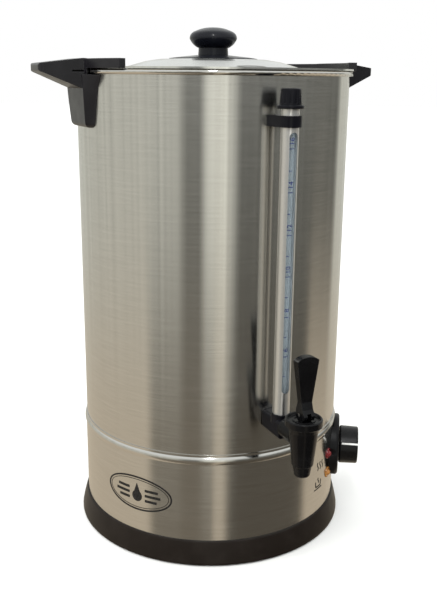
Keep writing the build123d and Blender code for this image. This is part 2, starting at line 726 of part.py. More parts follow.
with BuildPart() as handle_leg:
    for z, *outline in zip(LEG_Z, LEG_FACE_R, LEG_HALF, LEG_WALL_HALF):
        with BuildSketch(Plane.XY.offset(z)):
            with BuildLine():
                leg_section(*outline)
            make_face()
    loft()
    fillet(handle_leg.edges().group_by(Axis.Z)[0].sort_by(Axis.X)[-3:], LEG_ROUND)

with BuildPart() as handle_grip:
    with BuildSketch(Plane.XZ.offset(-HANDLE_WIDE)) as grip_side:
        with BuildLine():
            Polyline(
                (LIP_INNER_R, HANDLE_UNDER_Z),
                (LIP_INNER_R, LIP_TOP_Z),
                (HANDLE_KNEE_R, HANDLE_TOP_Z),
                (HANDLE_TIP_R, TIP_TOP_Z),
                (HANDLE_TIP_R, TIP_FOOT_Z),
                (LEG_FACE_R[1], HANDLE_UNDER_Z),
                close=True,
            )
        make_face()
        fillet(grip_side.vertices().group_by(Axis.X)[-1], TIP_ROUND)
    extrude(amount=2 * HANDLE_WIDE)
    with BuildSketch(Plane.XY.offset(HANDLE_UNDER_Z - 1)) as grip_plan:
        with BuildLine():
            Polyline(
                (LEG_WALL_R, -HANDLE_KNEE_HALF),
                (HANDLE_KNEE_R, -HANDLE_KNEE_HALF),
                (HANDLE_TIP_R, -HANDLE_TIP_HALF),
                (HANDLE_TIP_R, HANDLE_TIP_HALF),
                (HANDLE_KNEE_R, HANDLE_KNEE_HALF),
                (LEG_WALL_R, HANDLE_KNEE_HALF),
                close=True,
            )
        make_face()
        fillet(grip_plan.vertices().group_by(Axis.X)[-1], TIP_CORNER)
    extrude(amount=HANDLE_TOP_Z - HANDLE_UNDER_Z + 2, mode=Mode.INTERSECT)
    with BuildSketch(Plane.XY.offset(LIP_Z)):
        with BuildLine():
            arc_band(LIP_INNER_R, LIP_OUTER_R, LIP_SPAN)
        make_face()
    extrude(amount=LIP_TOP_Z - LIP_Z)
    with BuildSketch(Plane.XY.offset(COLLAR_Z)):
        with BuildLine():
            arc_band(LIP_INNER_R, LIP_OUTER_R, COLLAR_SPAN)
        make_face()
    extrude(amount=LIP_TOP_Z - COLLAR_Z)
    add(handle_leg.part)
    add(round_core(RIM_SLOT_R, RIM_SLOT_Z, LIP_Z), mode=Mode.SUBTRACT)
    add(round_core(BODY_R + FIT, 0, RIM_SLOT_Z), mode=Mode.SUBTRACT)
    add(round_core(LIP_INNER_R, LIP_Z - 1), mode=Mode.SUBTRACT)
    for side in (-1, 1):
        with Locations((SLIT_AT[0], side * SLIT_AT[1], SLIT_AT[2])):
            Box(*SLIT, mode=Mode.SUBTRACT)
    for z in HANDLE_SCREW_Z:
        with Locations(outward(0, BODY_R, z).location):
            Cylinder(SCREW_HOLE_R, SCREW_HOLE_LONG, mode=Mode.SUBTRACT)
save(handle_grip.part, "handle_right")
save(handle_grip.part.rotate(Axis.Z, 180), "handle_left")

WASHER_R = 6.0
WASHER_THICK = 1.0
WASHER_AT = INNER_R - 1.15

with BuildPart() as handle_washers:
    for azimuth in HANDLE_AZ:
        for z in HANDLE_SCREW_Z:
            with BuildSketch(outward(azimuth, WASHER_AT, z)):
                Circle(WASHER_R)
                Circle(HANDLE_HOLE_R, mode=Mode.SUBTRACT)
            extrude(amount=WASHER_THICK)
save(handle_washers.part, "handle_washers")

# ---------------------------------------------------------------- tap and gauge: inlet
BLOCK_FRONT_R = 166.0
BLOCK_HALF = 8.0
BLOCK_Z = (139.6, 157.2)
BLOCK_MID_Z = (BLOCK_Z[0] + BLOCK_Z[1]) / 2
BLOCK_ROUND = (3.0, 1.2, 1.0)
CUP_R = COVER_R + 1.3
CUP_Z = (152.0, 161.0)
CUP_FLOOR_Z = COVER_Z - 0.2
FEED_R = 2.0
GASKET_R = BODY_R + 1.1
GASKET = (15.0, 14.0, 3.0)
GASKET_BACK = BODY_R - 6.0

with BuildPart() as gauge_block:
    with BuildSketch(outward(-90, GASKET_BACK, BLOCK_MID_Z)) as block_section:
        Rectangle(2 * BLOCK_HALF, BLOCK_Z[1] - BLOCK_Z[0])
        fillet(block_section.vertices().group_by(Axis.Z)[0], BLOCK_ROUND[0])
        fillet(block_section.vertices().group_by(Axis.Z)[-1], BLOCK_ROUND[1])
    extrude(amount=BLOCK_FRONT_R - GASKET_BACK)
    fillet(gauge_block.edges().group_by(Axis.Y)[0].filter_by(GeomType.LINE), BLOCK_ROUND[2])
    with BuildSketch(upright(GAUGE_R, CUP_Z[0])):
        Circle(CUP_R)
    extrude(amount=CUP_Z[1] - CUP_Z[0])
    add(round_core(GASKET_R), mode=Mode.SUBTRACT)
    with BuildSketch(outward(-90, GASKET_BACK, TAP_Z)):
        Circle(SHANK_R + FIT)
    extrude(amount=CLEAR, mode=Mode.SUBTRACT)
    with BuildSketch(upright(GAUGE_R, CUP_FLOOR_Z)):
        Circle(COVER_R + FIT)
    extrude(amount=CUP_Z[1] - CUP_FLOOR_Z + 1, mode=Mode.SUBTRACT)
    with BuildSketch(upright(GAUGE_R, TAP_Z)):
        Circle(FEED_R)
    extrude(amount=COVER_Z - TAP_Z, mode=Mode.SUBTRACT)
save(gauge_block.part, "gauge_block")

with BuildPart() as gauge_gasket:
    with BuildSketch(outward(-90, GASKET_BACK, TAP_Z)):
        RectangleRounded(*GASKET)
        Circle(SHANK_R + GAP, mode=Mode.SUBTRACT)
    extrude(amount=GASKET_R - GASKET_BACK + 1)
    add(round_core(GASKET_R - FIT), mode=Mode.INTERSECT)
    add(round_core(BODY_R + FIT), mode=Mode.SUBTRACT)
save(gauge_gasket.part, "gauge_gasket")

SHANK_INNER_R = 121.0
SHANK_OUTER_R = 185.0
NUT_FACE_R = 129.6
NUT_THICK = 5.0
NUT_R = 10.5
NUT_CHAMFER = 0.4
SHANK_WASHER_R = 10.0

with BuildPart() as tap_shank:
    with BuildSketch(outward(-90, SHANK_INNER_R, TAP_Z)):
        Circle(SHANK_R)
    extrude(amount=SHANK_OUTER_R - SHANK_INNER_R)
    with BuildSketch(outward(-90, SHANK_INNER_R - 1, TAP_Z)):
        Circle(SHANK_BORE_R)
    extrude(amount=SHANK_OUTER_R - SHANK_INNER_R + 2, mode=Mode.SUBTRACT)
    with BuildSketch(upright(GAUGE_R, TAP_Z)):
        Circle(FEED_R - 2 * SHEET_FIT)
    extrude(amount=2 * SHANK_R, mode=Mode.SUBTRACT)
save(tap_shank.part, "tap_shank")

with BuildPart() as inner_washer:
    with BuildSketch(outward(-90, NUT_FACE_R + FIT, TAP_Z)):
        Circle(SHANK_WASHER_R)
        Circle(SHANK_R + 2 * SHEET_FIT, mode=Mode.SUBTRACT)
    extrude(amount=NUT_THICK)
    add(round_core(INNER_R - FIT), mode=Mode.INTERSECT)
save(inner_washer.part, "inner_washer")

with BuildPart() as tap_nut:
    with BuildSketch(outward(-90, NUT_FACE_R - NUT_THICK, TAP_Z)):
        RegularPolygon(NUT_R, 6)
        Circle(SHANK_R + FIT, mode=Mode.SUBTRACT)
    extrude(amount=NUT_THICK)
    chamfer(tap_nut.edges().filter_by(GeomType.CIRCLE), NUT_CHAMFER)
save(tap_nut.part, "tap_nut")

# ---------------------------------------------------------------- sight gauge
SLOT_MID = (SLOT_Z[0] + SLOT_Z[1]) / 2
COVER_BORE_R = COVER_R - COVER_WALL

with BuildPart() as gauge_cover:
    with BuildSketch(upright(GAUGE_R, COVER_Z)):
        Circle(COVER_R)
        Circle(COVER_BORE_R, mode=Mode.SUBTRACT)
    extrude(amount=COVER_TOP_Z - COVER_Z)
    with BuildSketch(outward(-90, GAUGE_R + 2, SLOT_MID)):
        SlotOverall(SLOT_Z[1] - SLOT_Z[0], 2 * SLOT_HALF, rotation=90)
    extrude(amount=THROUGH, mode=Mode.SUBTRACT)
save(gauge_cover.part, "gauge_cover")

with BuildPart() as gauge_glass:
    with BuildSketch(upright(GAUGE_R, GLASS_Z)):
        Circle(GLASS_R)
        Circle(GLASS_R - GLASS_WALL, mode=Mode.SUBTRACT)
    extrude(amount=GLASS_TOP_Z - GLASS_Z)
save(gauge_glass.part, "gauge_glass")

BACKING_BORE_R = GLASS_R + 0.9
BACKING_FRONT = 1.0
BACKING_END = 4.0

with BuildPart() as gauge_backing:
    with BuildSketch(upright(GAUGE_R, COVER_Z + BACKING_END)):
        Circle(COVER_BORE_R - SHEET_FIT)
        Circle(BACKING_BORE_R, mode=Mode.SUBTRACT)
        with Locations((0, -COVER_R - BACKING_FRONT)):
            Rectangle(3 * COVER_R, 2 * COVER_R, mode=Mode.SUBTRACT)
    extrude(amount=GLASS_TOP_Z - COVER_Z - 2 * BACKING_END)
save(gauge_backing.part, "gauge_backing")

SEAL_TALL = 2.6
SEAL_Z = (COVER_Z + 0.5, GLASS_TOP_Z - 3.0)

with BuildPart() as gauge_seals:
    for z in SEAL_Z:
        with BuildSketch(upright(GAUGE_R, z)):
            Circle(COVER_BORE_R - FIT)
            Circle(GLASS_R + FIT, mode=Mode.SUBTRACT)
        extrude(amount=SEAL_TALL)
save(gauge_seals.part, "gauge_seals")

BRACKET_R = 10.0
BRACKET_BACK = 124.0
BRACKET_PILOT_R = 1.8
BRACKET_PILOT_END = 143.0

with BuildPart() as gauge_bracket:
    with BuildSketch(Plane.XY.offset(BRACKET_Z)):
        with Locations((0, -(GAUGE_R + BRACKET_BACK) / 2)):
            Rectangle(2 * BRACKET_R, GAUGE_R - BRACKET_BACK)
        with Locations((0, -GAUGE_R)):
            Circle(BRACKET_R)
            Circle(COVER_R + FIT, mode=Mode.SUBTRACT)
    extrude(amount=BRACKET_TALL)
    add(round_core(BODY_R + FIT), mode=Mode.SUBTRACT)
    with BuildSketch(outward(-90, BRACKET_PILOT_END, BRACKET_MID_Z)):
        Circle(BRACKET_PILOT_R)
    extrude(amount=-THROUGH, mode=Mode.SUBTRACT)
save(gauge_bracket.part, "gauge_bracket")

CAP_BODY_Z = CAP_Z + 3.0
CAP_FLANGE_R = 11.5
CAP_FLANGE_ROUND = 0.8
CAP_BODY_R = 9.5
CAP_TAPER = 4.5
CAP_ROUND = 1.2
CAP_BORE_TOP_Z = COVER_TOP_Z + 2.4
FLUTES = 12
FLUTE_R = 1.6
FLUTE_AT = 10.4
FLUTE_Z = CAP_BODY_Z + 1.2
FLUTE_TAPER = -2

with BuildPart() as gauge_cap:
    with BuildSketch(upright(GAUGE_R, CAP_Z)):
        Circle(CAP_FLANGE_R)
    extrude(amount=CAP_BODY_Z - CAP_Z)
    fillet(gauge_cap.edges().filter_by(GeomType.CIRCLE), CAP_FLANGE_ROUND)
    with BuildSketch(upright(GAUGE_R, CAP_BODY_Z - OVERLAP)):
        Circle(CAP_BODY_R)
    extrude(amount=CAP_TOP_Z - CAP_BODY_Z + OVERLAP, taper=CAP_TAPER)
    fillet(gauge_cap.edges().group_by(Axis.Z)[-1], CAP_ROUND)
    with BuildSketch(upright(GAUGE_R, FLUTE_Z)):
        with PolarLocations(FLUTE_AT, FLUTES):
            Circle(FLUTE_R)
    extrude(amount=CAP_TOP_Z - CAP_BODY_Z, taper=FLUTE_TAPER, mode=Mode.SUBTRACT)
    with BuildSketch(upright(GAUGE_R, CAP_Z - 1)):
        Circle(COVER_R + SHEET_FIT)
    extrude(amount=CAP_BORE_TOP_Z - CAP_Z + 1, mode=Mode.SUBTRACT)
save(gauge_cap.part, "gauge_cap")

CAP_SEAL_BORE_R = 4.0
CAP_SEAL_Z = COVER_TOP_Z + SHEET_FIT
CAP_SEAL_THICK = 1.9
CAP_SEAL_PLUG = 3.0

with BuildPart() as cap_seal:
    with BuildSketch(upright(GAUGE_R, CAP_SEAL_Z)):
        Circle(COVER_R - 2 * SHEET_FIT)
        Circle(CAP_SEAL_BORE_R, mode=Mode.SUBTRACT)
    extrude(amount=CAP_SEAL_THICK)
    with BuildSketch(upright(GAUGE_R, COVER_TOP_Z - CAP_SEAL_PLUG)):
        Circle(COVER_BORE_R - SHEET_FIT)
        Circle(CAP_SEAL_BORE_R, mode=Mode.SUBTRACT)
    extrude(amount=CAP_SEAL_PLUG + OVERLAP)
save(cap_seal.part, "cap_seal")

# ---------------------------------------------------------------- tap
SPOUT_Z = 117.2
SPOUT_LIP_R = 6.4
SPOUT_R = 7.1
STEP_Z = 127.0
STEP_R = (8.6, 9.7)
CONE_TOP_Z = 160.0
CONE_R = 13.0
BODY_TOP_Z = 164.0
BODY_TOP_R = 14.2
EDGE = 1.0
SEAT_Z = 131.0
CHAMBER_R = 7.4
OUTLET_R = 5.2
NECK_R = 9.4
NECK_FACE_R = BLOCK_FRONT_R + 0.1
NECK_END_R = TAP_AXIS_R - CHAMBER_R - 2.2
BONNET_R = 16.5
BONNET_Z = BODY_TOP_Z + SHEET_FIT
BONNET_FACE_Z = LEVER_PIN_Z - CAM_R - GAP
BONNET_TOP_Z = 171.4
SEAL_R = 11.0
SEAL_THICK = 2.9
SEAL_SEAT_Z = BODY_TOP_Z - SEAL_THICK - SHEET_FIT
STEM_R = 2.5
RING_R = 9.4
RING_TALL = 1.0
RING_HALF = 0.5

tap_side = Plane(origin=(0, -TAP_AXIS_R, 0), x_dir=(1, 0, 0), z_dir=(0, -1, 0))
tap_axis = Axis((0, -TAP_AXIS_R, 0), (0, 0, 1))

with BuildPart() as tap_body:
    with BuildSketch(tap_side):
        with BuildLine():
            Polyline(
                (OUTLET_R, SPOUT_Z),
                (SPOUT_LIP_R, SPOUT_Z),
                (SPOUT_R, SPOUT_Z + EDGE),
                (STEP_R[0], STEP_Z),
                (STEP_R[1], STEP_Z + EDGE),
                (CONE_R, CONE_TOP_Z),
                (BODY_TOP_R, BODY_TOP_Z),
                (SEAL_R + SHEET_FIT, BODY_TOP_Z),
                (SEAL_R + SHEET_FIT, SEAL_SEAT_Z),
                (CHAMBER_R, SEAL_SEAT_Z),
                (CHAMBER_R, SEAT_Z),
                (OUTLET_R, SEAT_Z),
                close=True,
            )
        make_face()
    revolve(axis=tap_axis)
    with BuildSketch(outward(-90, NECK_FACE_R, TAP_Z)):
        Circle(NECK_R)
    extrude(amount=NECK_END_R - NECK_FACE_R)
    with BuildSketch(outward(-90, NECK_FACE_R - 1, TAP_Z)):
        Circle(SHANK_R + FIT)
    extrude(amount=SHANK_OUTER_R - NECK_FACE_R + 1 + SHEET_FIT, mode=Mode.SUBTRACT)
    with BuildSketch(outward(-90, NECK_FACE_R, TAP_Z)):
        Circle(SHANK_BORE_R)
    extrude(amount=TAP_AXIS_R - NECK_FACE_R, mode=Mode.SUBTRACT)
    with BuildSketch(upright(TAP_AXIS_R, SEAT_Z)):
        Circle(CHAMBER_R)
    extrude(amount=BODY_TOP_Z - SEAT_Z, mode=Mode.SUBTRACT)
save(tap_body.part, "tap_body")

with BuildPart() as bonnet_seal:
    with BuildSketch(upright(TAP_AXIS_R, BODY_TOP_Z - SEAL_THICK)):
        Circle(SEAL_R)
        Circle(STEM_R + FIT, mode=Mode.SUBTRACT)
    extrude(amount=SEAL_THICK)
save(bonnet_seal.part, "bonnet_seal")

BONNET_EDGE = 0.9
BONNET_LIP = 1.9
BONNET_BORE_R = STEM_R + GAP

with BuildPart() as tap_bonnet:
    with BuildSketch(tap_side):
        with BuildLine():
            Polyline(
                (BONNET_BORE_R, BONNET_Z),
                (BONNET_R - BONNET_EDGE, BONNET_Z),
                (BONNET_R, BONNET_Z + BONNET_EDGE),
                (BONNET_R, BONNET_TOP_Z - BONNET_EDGE),
                (BONNET_R - BONNET_EDGE, BONNET_TOP_Z),
                (BONNET_R - BONNET_LIP, BONNET_TOP_Z),
                (BONNET_R - BONNET_LIP - BONNET_EDGE, BONNET_FACE_Z),
                (RING_R + RING_HALF + GAP, BONNET_FACE_Z),
                (RING_R + RING_HALF, BONNET_FACE_Z + RING_TALL),
                (RING_R - RING_HALF, BONNET_FACE_Z + RING_TALL),
                (RING_R - RING_HALF - SHEET_FIT, BONNET_FACE_Z),
                (BONNET_BORE_R, BONNET_FACE_Z),
                close=True,
            )
        make_face()
    revolve(axis=tap_axis)
save(tap_bonnet.part, "tap_bonnet")

PIN_R = 1.5
PIN_SHY = 0.1
EYE_R = 3.4
EYE_HALF = 1.7
FLAT_Z = BONNET_FACE_Z - 4.0
STEM_FOOT_Z = SEAT_Z + 3.3
COLLAR_FOOT_Z = SEAT_Z + 6.0
COLLAR_R = 4.2
COLLAR_THICK = 1.6
pin_axis = Location((0, -TAP_AXIS_R, LEVER_PIN_Z), (0, 90, 0))
eye_side = Plane(origin=(-EYE_HALF, -TAP_AXIS_R, LEVER_PIN_Z), x_dir=(0, 1, 0), z_dir=(1, 0, 0))

with BuildPart() as tap_stem:
    with BuildSketch(upright(TAP_AXIS_R, STEM_FOOT_Z)):
        Circle(STEM_R)
    extrude(amount=LEVER_PIN_Z - STEM_FOOT_Z)
    with BuildSketch(upright(TAP_AXIS_R, COLLAR_FOOT_Z)):
        Circle(COLLAR_R)
    extrude(amount=COLLAR_THICK)
    with BuildSketch(upright(TAP_AXIS_R, FLAT_Z)):
        for side in (-1, 1):
            with Locations((side * (EYE_HALF + STEM_R), 0)):
                Rectangle(2 * STEM_R, 4 * STEM_R)
    extrude(amount=LEVER_PIN_Z - FLAT_Z, mode=Mode.SUBTRACT)
    with BuildSketch(eye_side):
        Circle(EYE_R)
    extrude(amount=2 * EYE_HALF)
    with Locations(pin_axis):
        Cylinder(PIN_R + FIT, CLEAR, mode=Mode.SUBTRACT)
save(tap_stem.part, "tap_stem")

SEAT_CUP_R = 6.8
SEAT_CUP_FOOT_Z = SEAT_Z + GAP
SEAT_CUP_TALL = 8.6
SEAT_CUP_ROUND = 2.4

with BuildPart() as seat_cup:
    with BuildSketch(upright(TAP_AXIS_R, SEAT_CUP_FOOT_Z)):
        Circle(SEAT_CUP_R)
    extrude(amount=SEAT_CUP_TALL)
    fillet(seat_cup.edges().group_by(Axis.Z)[0], SEAT_CUP_ROUND)
    with BuildSketch(upright(TAP_AXIS_R, STEM_FOOT_Z - FIT)):
        Circle(STEM_R + FIT)
    extrude(amount=SEAT_CUP_TALL, mode=Mode.SUBTRACT)
    with BuildSketch(upright(TAP_AXIS_R, COLLAR_FOOT_Z - FIT)):
        Circle(COLLAR_R + FIT)
    extrude(amount=COLLAR_THICK + 2 * FIT, mode=Mode.SUBTRACT)
save(seat_cup.part, "seat_cup")

LEVER_TOP = 53.0
PADDLE_HALF = 10.6
PADDLE_SHOULDER = 49.5
WAIST_HALF = 5.2
WAIST_UP = 11.0
HUB_HALF = 5.4
HUB_UP = 3.0
HUB_DOWN = 12.0
HEEL_SLOT = 2.8
CAM_TURNS = (0, 20, 40, 60, 80)
# Side outline of the blade from the end of the cam, as (forward, up) from the pin
BLADE_OUTLINE = ((5.6, 5.5), (3.5, 12.0), (4.0, 56.0), (-3.8, 56.0), (-3.2, 11.0), (-CAM_R, 3.5))
lever_side = Plane(origin=(0, -TAP_AXIS_R, LEVER_PIN_Z), x_dir=(0, -1, 0), z_dir=(-1, 0, 0))


def cam_point(turn):
    """Point of the heel cam, which lifts the pin by CAM_RISE for each radian of tilt."""
    a = radians(turn)
    reach = CAM_R + CAM_RISE * a
    return (reach * sin(a) + CAM_RISE * cos(a), -reach * cos(a) + CAM_RISE * sin(a))


def lever_front():
    """Front outline of the lever: a hub, a waist and a paddle with an arched top."""
    right = [
        (HUB_HALF, LEVER_PIN_Z - HUB_DOWN),
        (HUB_HALF, LEVER_PIN_Z + HUB_UP),
        (WAIST_HALF, LEVER_PIN_Z + WAIST_UP),
        (PADDLE_HALF, LEVER_PIN_Z + PADDLE_SHOULDER),
    ]
    left = [(-x, z) for x, z in reversed(right)]
    Polyline(*left, *right)
    ThreePointArc(right[-1], (0, LEVER_PIN_Z + LEVER_TOP), left[0])


with BuildPart() as tap_lever:
    with BuildSketch(lever_side.offset(-THROUGH)):
        with BuildLine():
            heel = Spline(*[cam_point(turn) for turn in CAM_TURNS])
            Polyline(heel @ 1, *BLADE_OUTLINE, (-CAM_R, 0))
            RadiusArc((-CAM_R, 0), (0, -CAM_R), -CAM_R)
            Line((0, -CAM_R), heel @ 0)
        make_face()
    extrude(amount=2 * THROUGH)
    with BuildSketch(tap_side.offset(-CLEAR / 2)):
        with BuildLine():
            lever_front()
        make_face()
    extrude(amount=CLEAR, mode=Mode.INTERSECT)
    with BuildSketch(lever_side.offset(-EYE_HALF - GAP)):
        Circle(EYE_R + GAP)
        with Locations((2 * STEM_R, HEEL_SLOT / 2 - 2 * STEM_R)):
            Rectangle(4 * STEM_R + 2 * HEEL_SLOT, 4 * STEM_R + HEEL_SLOT)
    extrude(amount=2 * (EYE_HALF + GAP), mode=Mode.SUBTRACT)
    with Locations(pin_axis):
        Cylinder(PIN_R + FIT, CLEAR, mode=Mode.SUBTRACT)
save(tap_lever.part, "tap_lever")

with BuildPart() as lever_pin:
    with Locations(pin_axis):
        Cylinder(PIN_R, 2 * (HUB_HALF - PIN_SHY))
save(lever_pin.part, "lever_pin")

# ---------------------------------------------------------------- lid
LID_TOP_Z = LID_Z + LID_SHEET
CHANNEL_Z = 455.6
CHANNEL_R = (124.0, 131.0)
STEM_HOLE_R = 2.7
HEM_R = LID_R - 1.4
HEM_PROUD = 0.3
# Crown from its flat top to the level brim, as (radius, height) of its upper face
CROWN = ((52.2, LID_CROWN_Z), (66.3, 470.2), (86.3, 464.5), (90.3, LID_TOP_Z))
CROWN_SHIFT = 0.3

with BuildPart() as lid:
    with BuildSketch(Plane.XZ):
        with BuildLine():
            Polyline(
                (STEM_HOLE_R, LID_CROWN_Z - LID_SHEET),
                *((r - CROWN_SHIFT, z - LID_SHEET) for r, z in CROWN),
                (CHANNEL_R[0] - LID_SHEET, LID_Z),
                (CHANNEL_R[0], CHANNEL_Z),
                (CHANNEL_R[1], CHANNEL_Z),
                (CHANNEL_R[1], LID_Z),
                (HEM_R, LID_Z),
                (HEM_R, LID_Z - HEM_PROUD),
                (LID_R, LID_Z - HEM_PROUD),
                (LID_R, LID_TOP_Z + HEM_PROUD),
                (HEM_R, LID_TOP_Z + HEM_PROUD),
                (HEM_R, LID_TOP_Z),
                (CHANNEL_R[1] - LID_SHEET, LID_TOP_Z),
                (CHANNEL_R[1] - LID_SHEET, CHANNEL_Z + LID_SHEET),
                (CHANNEL_R[0] + LID_SHEET, CHANNEL_Z + LID_SHEET),
                (CHANNEL_R[0], LID_TOP_Z),
                *reversed(CROWN),
                (STEM_HOLE_R, LID_CROWN_Z),
                close=True,
            )
        make_face()
    revolve(axis=Axis.Z)
    with BuildSketch(Plane.XY.offset(LID_Z - 2 * LID_SHEET)):
        for side in (-1, 1):
            reach = side * 1.2 * LID_R
            spread = 1.2 * LID_R * tan(radians(LID_RELIEF_SPAN))
            Polygon((0, 0), (reach, -spread), (reach, spread), align=None)
        Circle(LID_RELIEF_R, mode=Mode.SUBTRACT)
    extrude(amount=6 * LID_SHEET, mode=Mode.SUBTRACT)
    with BuildSketch(upright(VENT_R, LID_Z)):
        SlotOverall(VENT_LENGTH, VENT_WIDTH)
    extrude(amount=THROUGH, mode=Mode.SUBTRACT)
save(lid.part, "lid")

KNOB_SKIRT_R = 43.0
KNOB_SKIRT_Z = LID_CROWN_Z + SHEET_FIT
KNOB_FOOT_Z = 476.4
SKIRT_PROFILE = (
    (STEM_HOLE_R, KNOB_SKIRT_Z),
    (KNOB_SKIRT_R, KNOB_SKIRT_Z),
    (KNOB_SKIRT_R, KNOB_SKIRT_Z + 0.9),
    (36.0, KNOB_SKIRT_Z + 1.9),
    (17.0, KNOB_FOOT_Z - SHEET_FIT),
    (STEM_HOLE_R, KNOB_FOOT_Z - SHEET_FIT),
)

with BuildPart() as lid_knob_skirt:
    with BuildSketch(Plane.XZ):
        with BuildLine():
            Polyline(*SKIRT_PROFILE, close=True)
        make_face()
    revolve(axis=Axis.Z)
save(lid_knob_skirt.part, "lid_knob_skirt")

KNOB_TOP_Z = 502.3
NECK_FOOT_R = 14.7
NECK_TOP = (14.3, 483.0)
UNDERCUT = (20.0, 487.0)
WIDEST = (23.0, 491.8)
SHOULDER = (16.8, 499.2)
KNOB_HOLE_R = 2.55
KNOB_HOLE_DEEP = 13.0

with BuildPart() as lid_knob:
    with BuildSketch(Plane.XZ):
        with BuildLine():
            Polyline((0, KNOB_TOP_Z), (0, KNOB_FOOT_Z), (NECK_FOOT_R, KNOB_FOOT_Z), NECK_TOP)
            ThreePointArc(NECK_TOP, UNDERCUT, WIDEST)
            Spline(WIDEST, SHOULDER, (0, KNOB_TOP_Z), tangents=((0, 1), (-1, 0)))
        make_face()
    revolve(axis=Axis.Z)
    with BuildSketch(Plane.XY.offset(KNOB_FOOT_Z)):
        Circle(KNOB_HOLE_R)
    extrude(amount=KNOB_HOLE_DEEP, mode=Mode.SUBTRACT)
save(lid_knob.part, "lid_knob")

LID_WASHER_R = 8.0
LID_WASHER_Z = LID_CROWN_Z - LID_SHEET - WASHER_THICK - SHEET_FIT

with BuildPart() as lid_washer:
    with BuildSketch(Plane.XY.offset(LID_WASHER_Z)):
        Circle(LID_WASHER_R)
        Circle(STEM_HOLE_R, mode=Mode.SUBTRACT)
    extrude(amount=WASHER_THICK)
save(lid_washer.part, "lid_washer")

# ---------------------------------------------------------------- screws
INLET_SEAT = outward(90, SOCKET_FACE, INLET_Z).location
HANDLE_SEAT_R = WASHER_AT - FIT
BRACKET_SEAT_R = INNER_R - 2 * SHEET_FIT

# Each set of screws: the planes the heads stand on, then the head's radius, height and
# taper, the cross slot's length, width and depth, and the shank's radius and length
SCREWS = {
    "base_screws": (
        [-upright(BASE_FIXING_R, PLATE_Z, azimuth) for azimuth in FIXING_AZ],
        (4.0, 2.0, 12),
        (4.4, 0.9, 1.1),
        (1.85, 9.5),
    ),
    "handle_screws_right": (
        [-outward(0, HANDLE_SEAT_R, z) for z in HANDLE_SCREW_Z],
        (4.0, 3.2, 18),
        (4.6, 0.9, 1.4),
        (2.0, 5.5),
    ),
    "handle_screws_left": (
        [-outward(180, HANDLE_SEAT_R, z) for z in HANDLE_SCREW_Z],
        (4.0, 3.2, 18),
        (4.6, 0.9, 1.4),
        (2.0, 5.5),
    ),
    "bracket_screw": (
        [-outward(-90, BRACKET_SEAT_R, BRACKET_MID_Z)],
        (3.7, 2.8, 18),
        (4.2, 0.8, 1.2),
        (1.75, 10.2),
    ),
    "inlet_screws": (
        [Plane(INLET_SEAT * Pos(x, 0, 0)) for x in INLET_SCREW_X],
        (3.2, 1.8, 15),
        (4.0, 0.8, 0.8),
        (1.6, 14.0),
    ),
    "lid_knob_screw": (
        [-Plane.XY.offset(LID_WASHER_Z - SHEET_FIT)],
        (4.6, 3.2, 15),
        (5.0, 1.0, 1.4),
        (2.5, 17.7),
    ),
}

for screw_name, (seats, head, cross, shank) in SCREWS.items():
    head_r, head_tall, head_taper = head
    cross_long, cross_wide, cross_deep = cross
    shank_r, shank_long = shank
    with BuildPart() as screws:
        for seat in seats:
            with BuildSketch(seat):
                Circle(head_r)
            extrude(amount=head_tall, taper=head_taper)
            with BuildSketch(seat.offset(head_tall - cross_deep)):
                Rectangle(cross_long, cross_wide)
                Rectangle(cross_wide, cross_long)
            extrude(amount=2 * cross_deep, mode=Mode.SUBTRACT)
            with BuildSketch(seat):
                Circle(shank_r)
            extrude(amount=-shank_long)
    save(screws.part, screw_name)
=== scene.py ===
import json
import math

import bmesh
import bpy
from mathutils import Matrix, Vector


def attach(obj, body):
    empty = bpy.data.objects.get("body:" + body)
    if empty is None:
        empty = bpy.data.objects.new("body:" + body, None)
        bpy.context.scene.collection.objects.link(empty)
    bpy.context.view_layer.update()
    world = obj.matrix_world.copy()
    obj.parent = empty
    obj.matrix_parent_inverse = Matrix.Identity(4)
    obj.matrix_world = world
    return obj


# Looks of the electric brew kettle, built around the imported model.  Metres, +Z up, the
# tap faces -Y, the handles lie on +X and -X.

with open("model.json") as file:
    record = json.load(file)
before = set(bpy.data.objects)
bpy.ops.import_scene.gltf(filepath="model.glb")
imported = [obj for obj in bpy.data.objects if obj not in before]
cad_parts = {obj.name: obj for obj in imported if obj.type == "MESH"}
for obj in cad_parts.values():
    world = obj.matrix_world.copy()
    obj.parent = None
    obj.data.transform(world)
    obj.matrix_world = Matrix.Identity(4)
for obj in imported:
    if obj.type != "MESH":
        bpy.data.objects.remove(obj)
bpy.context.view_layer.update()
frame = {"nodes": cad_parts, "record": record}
RECORD = frame["record"]


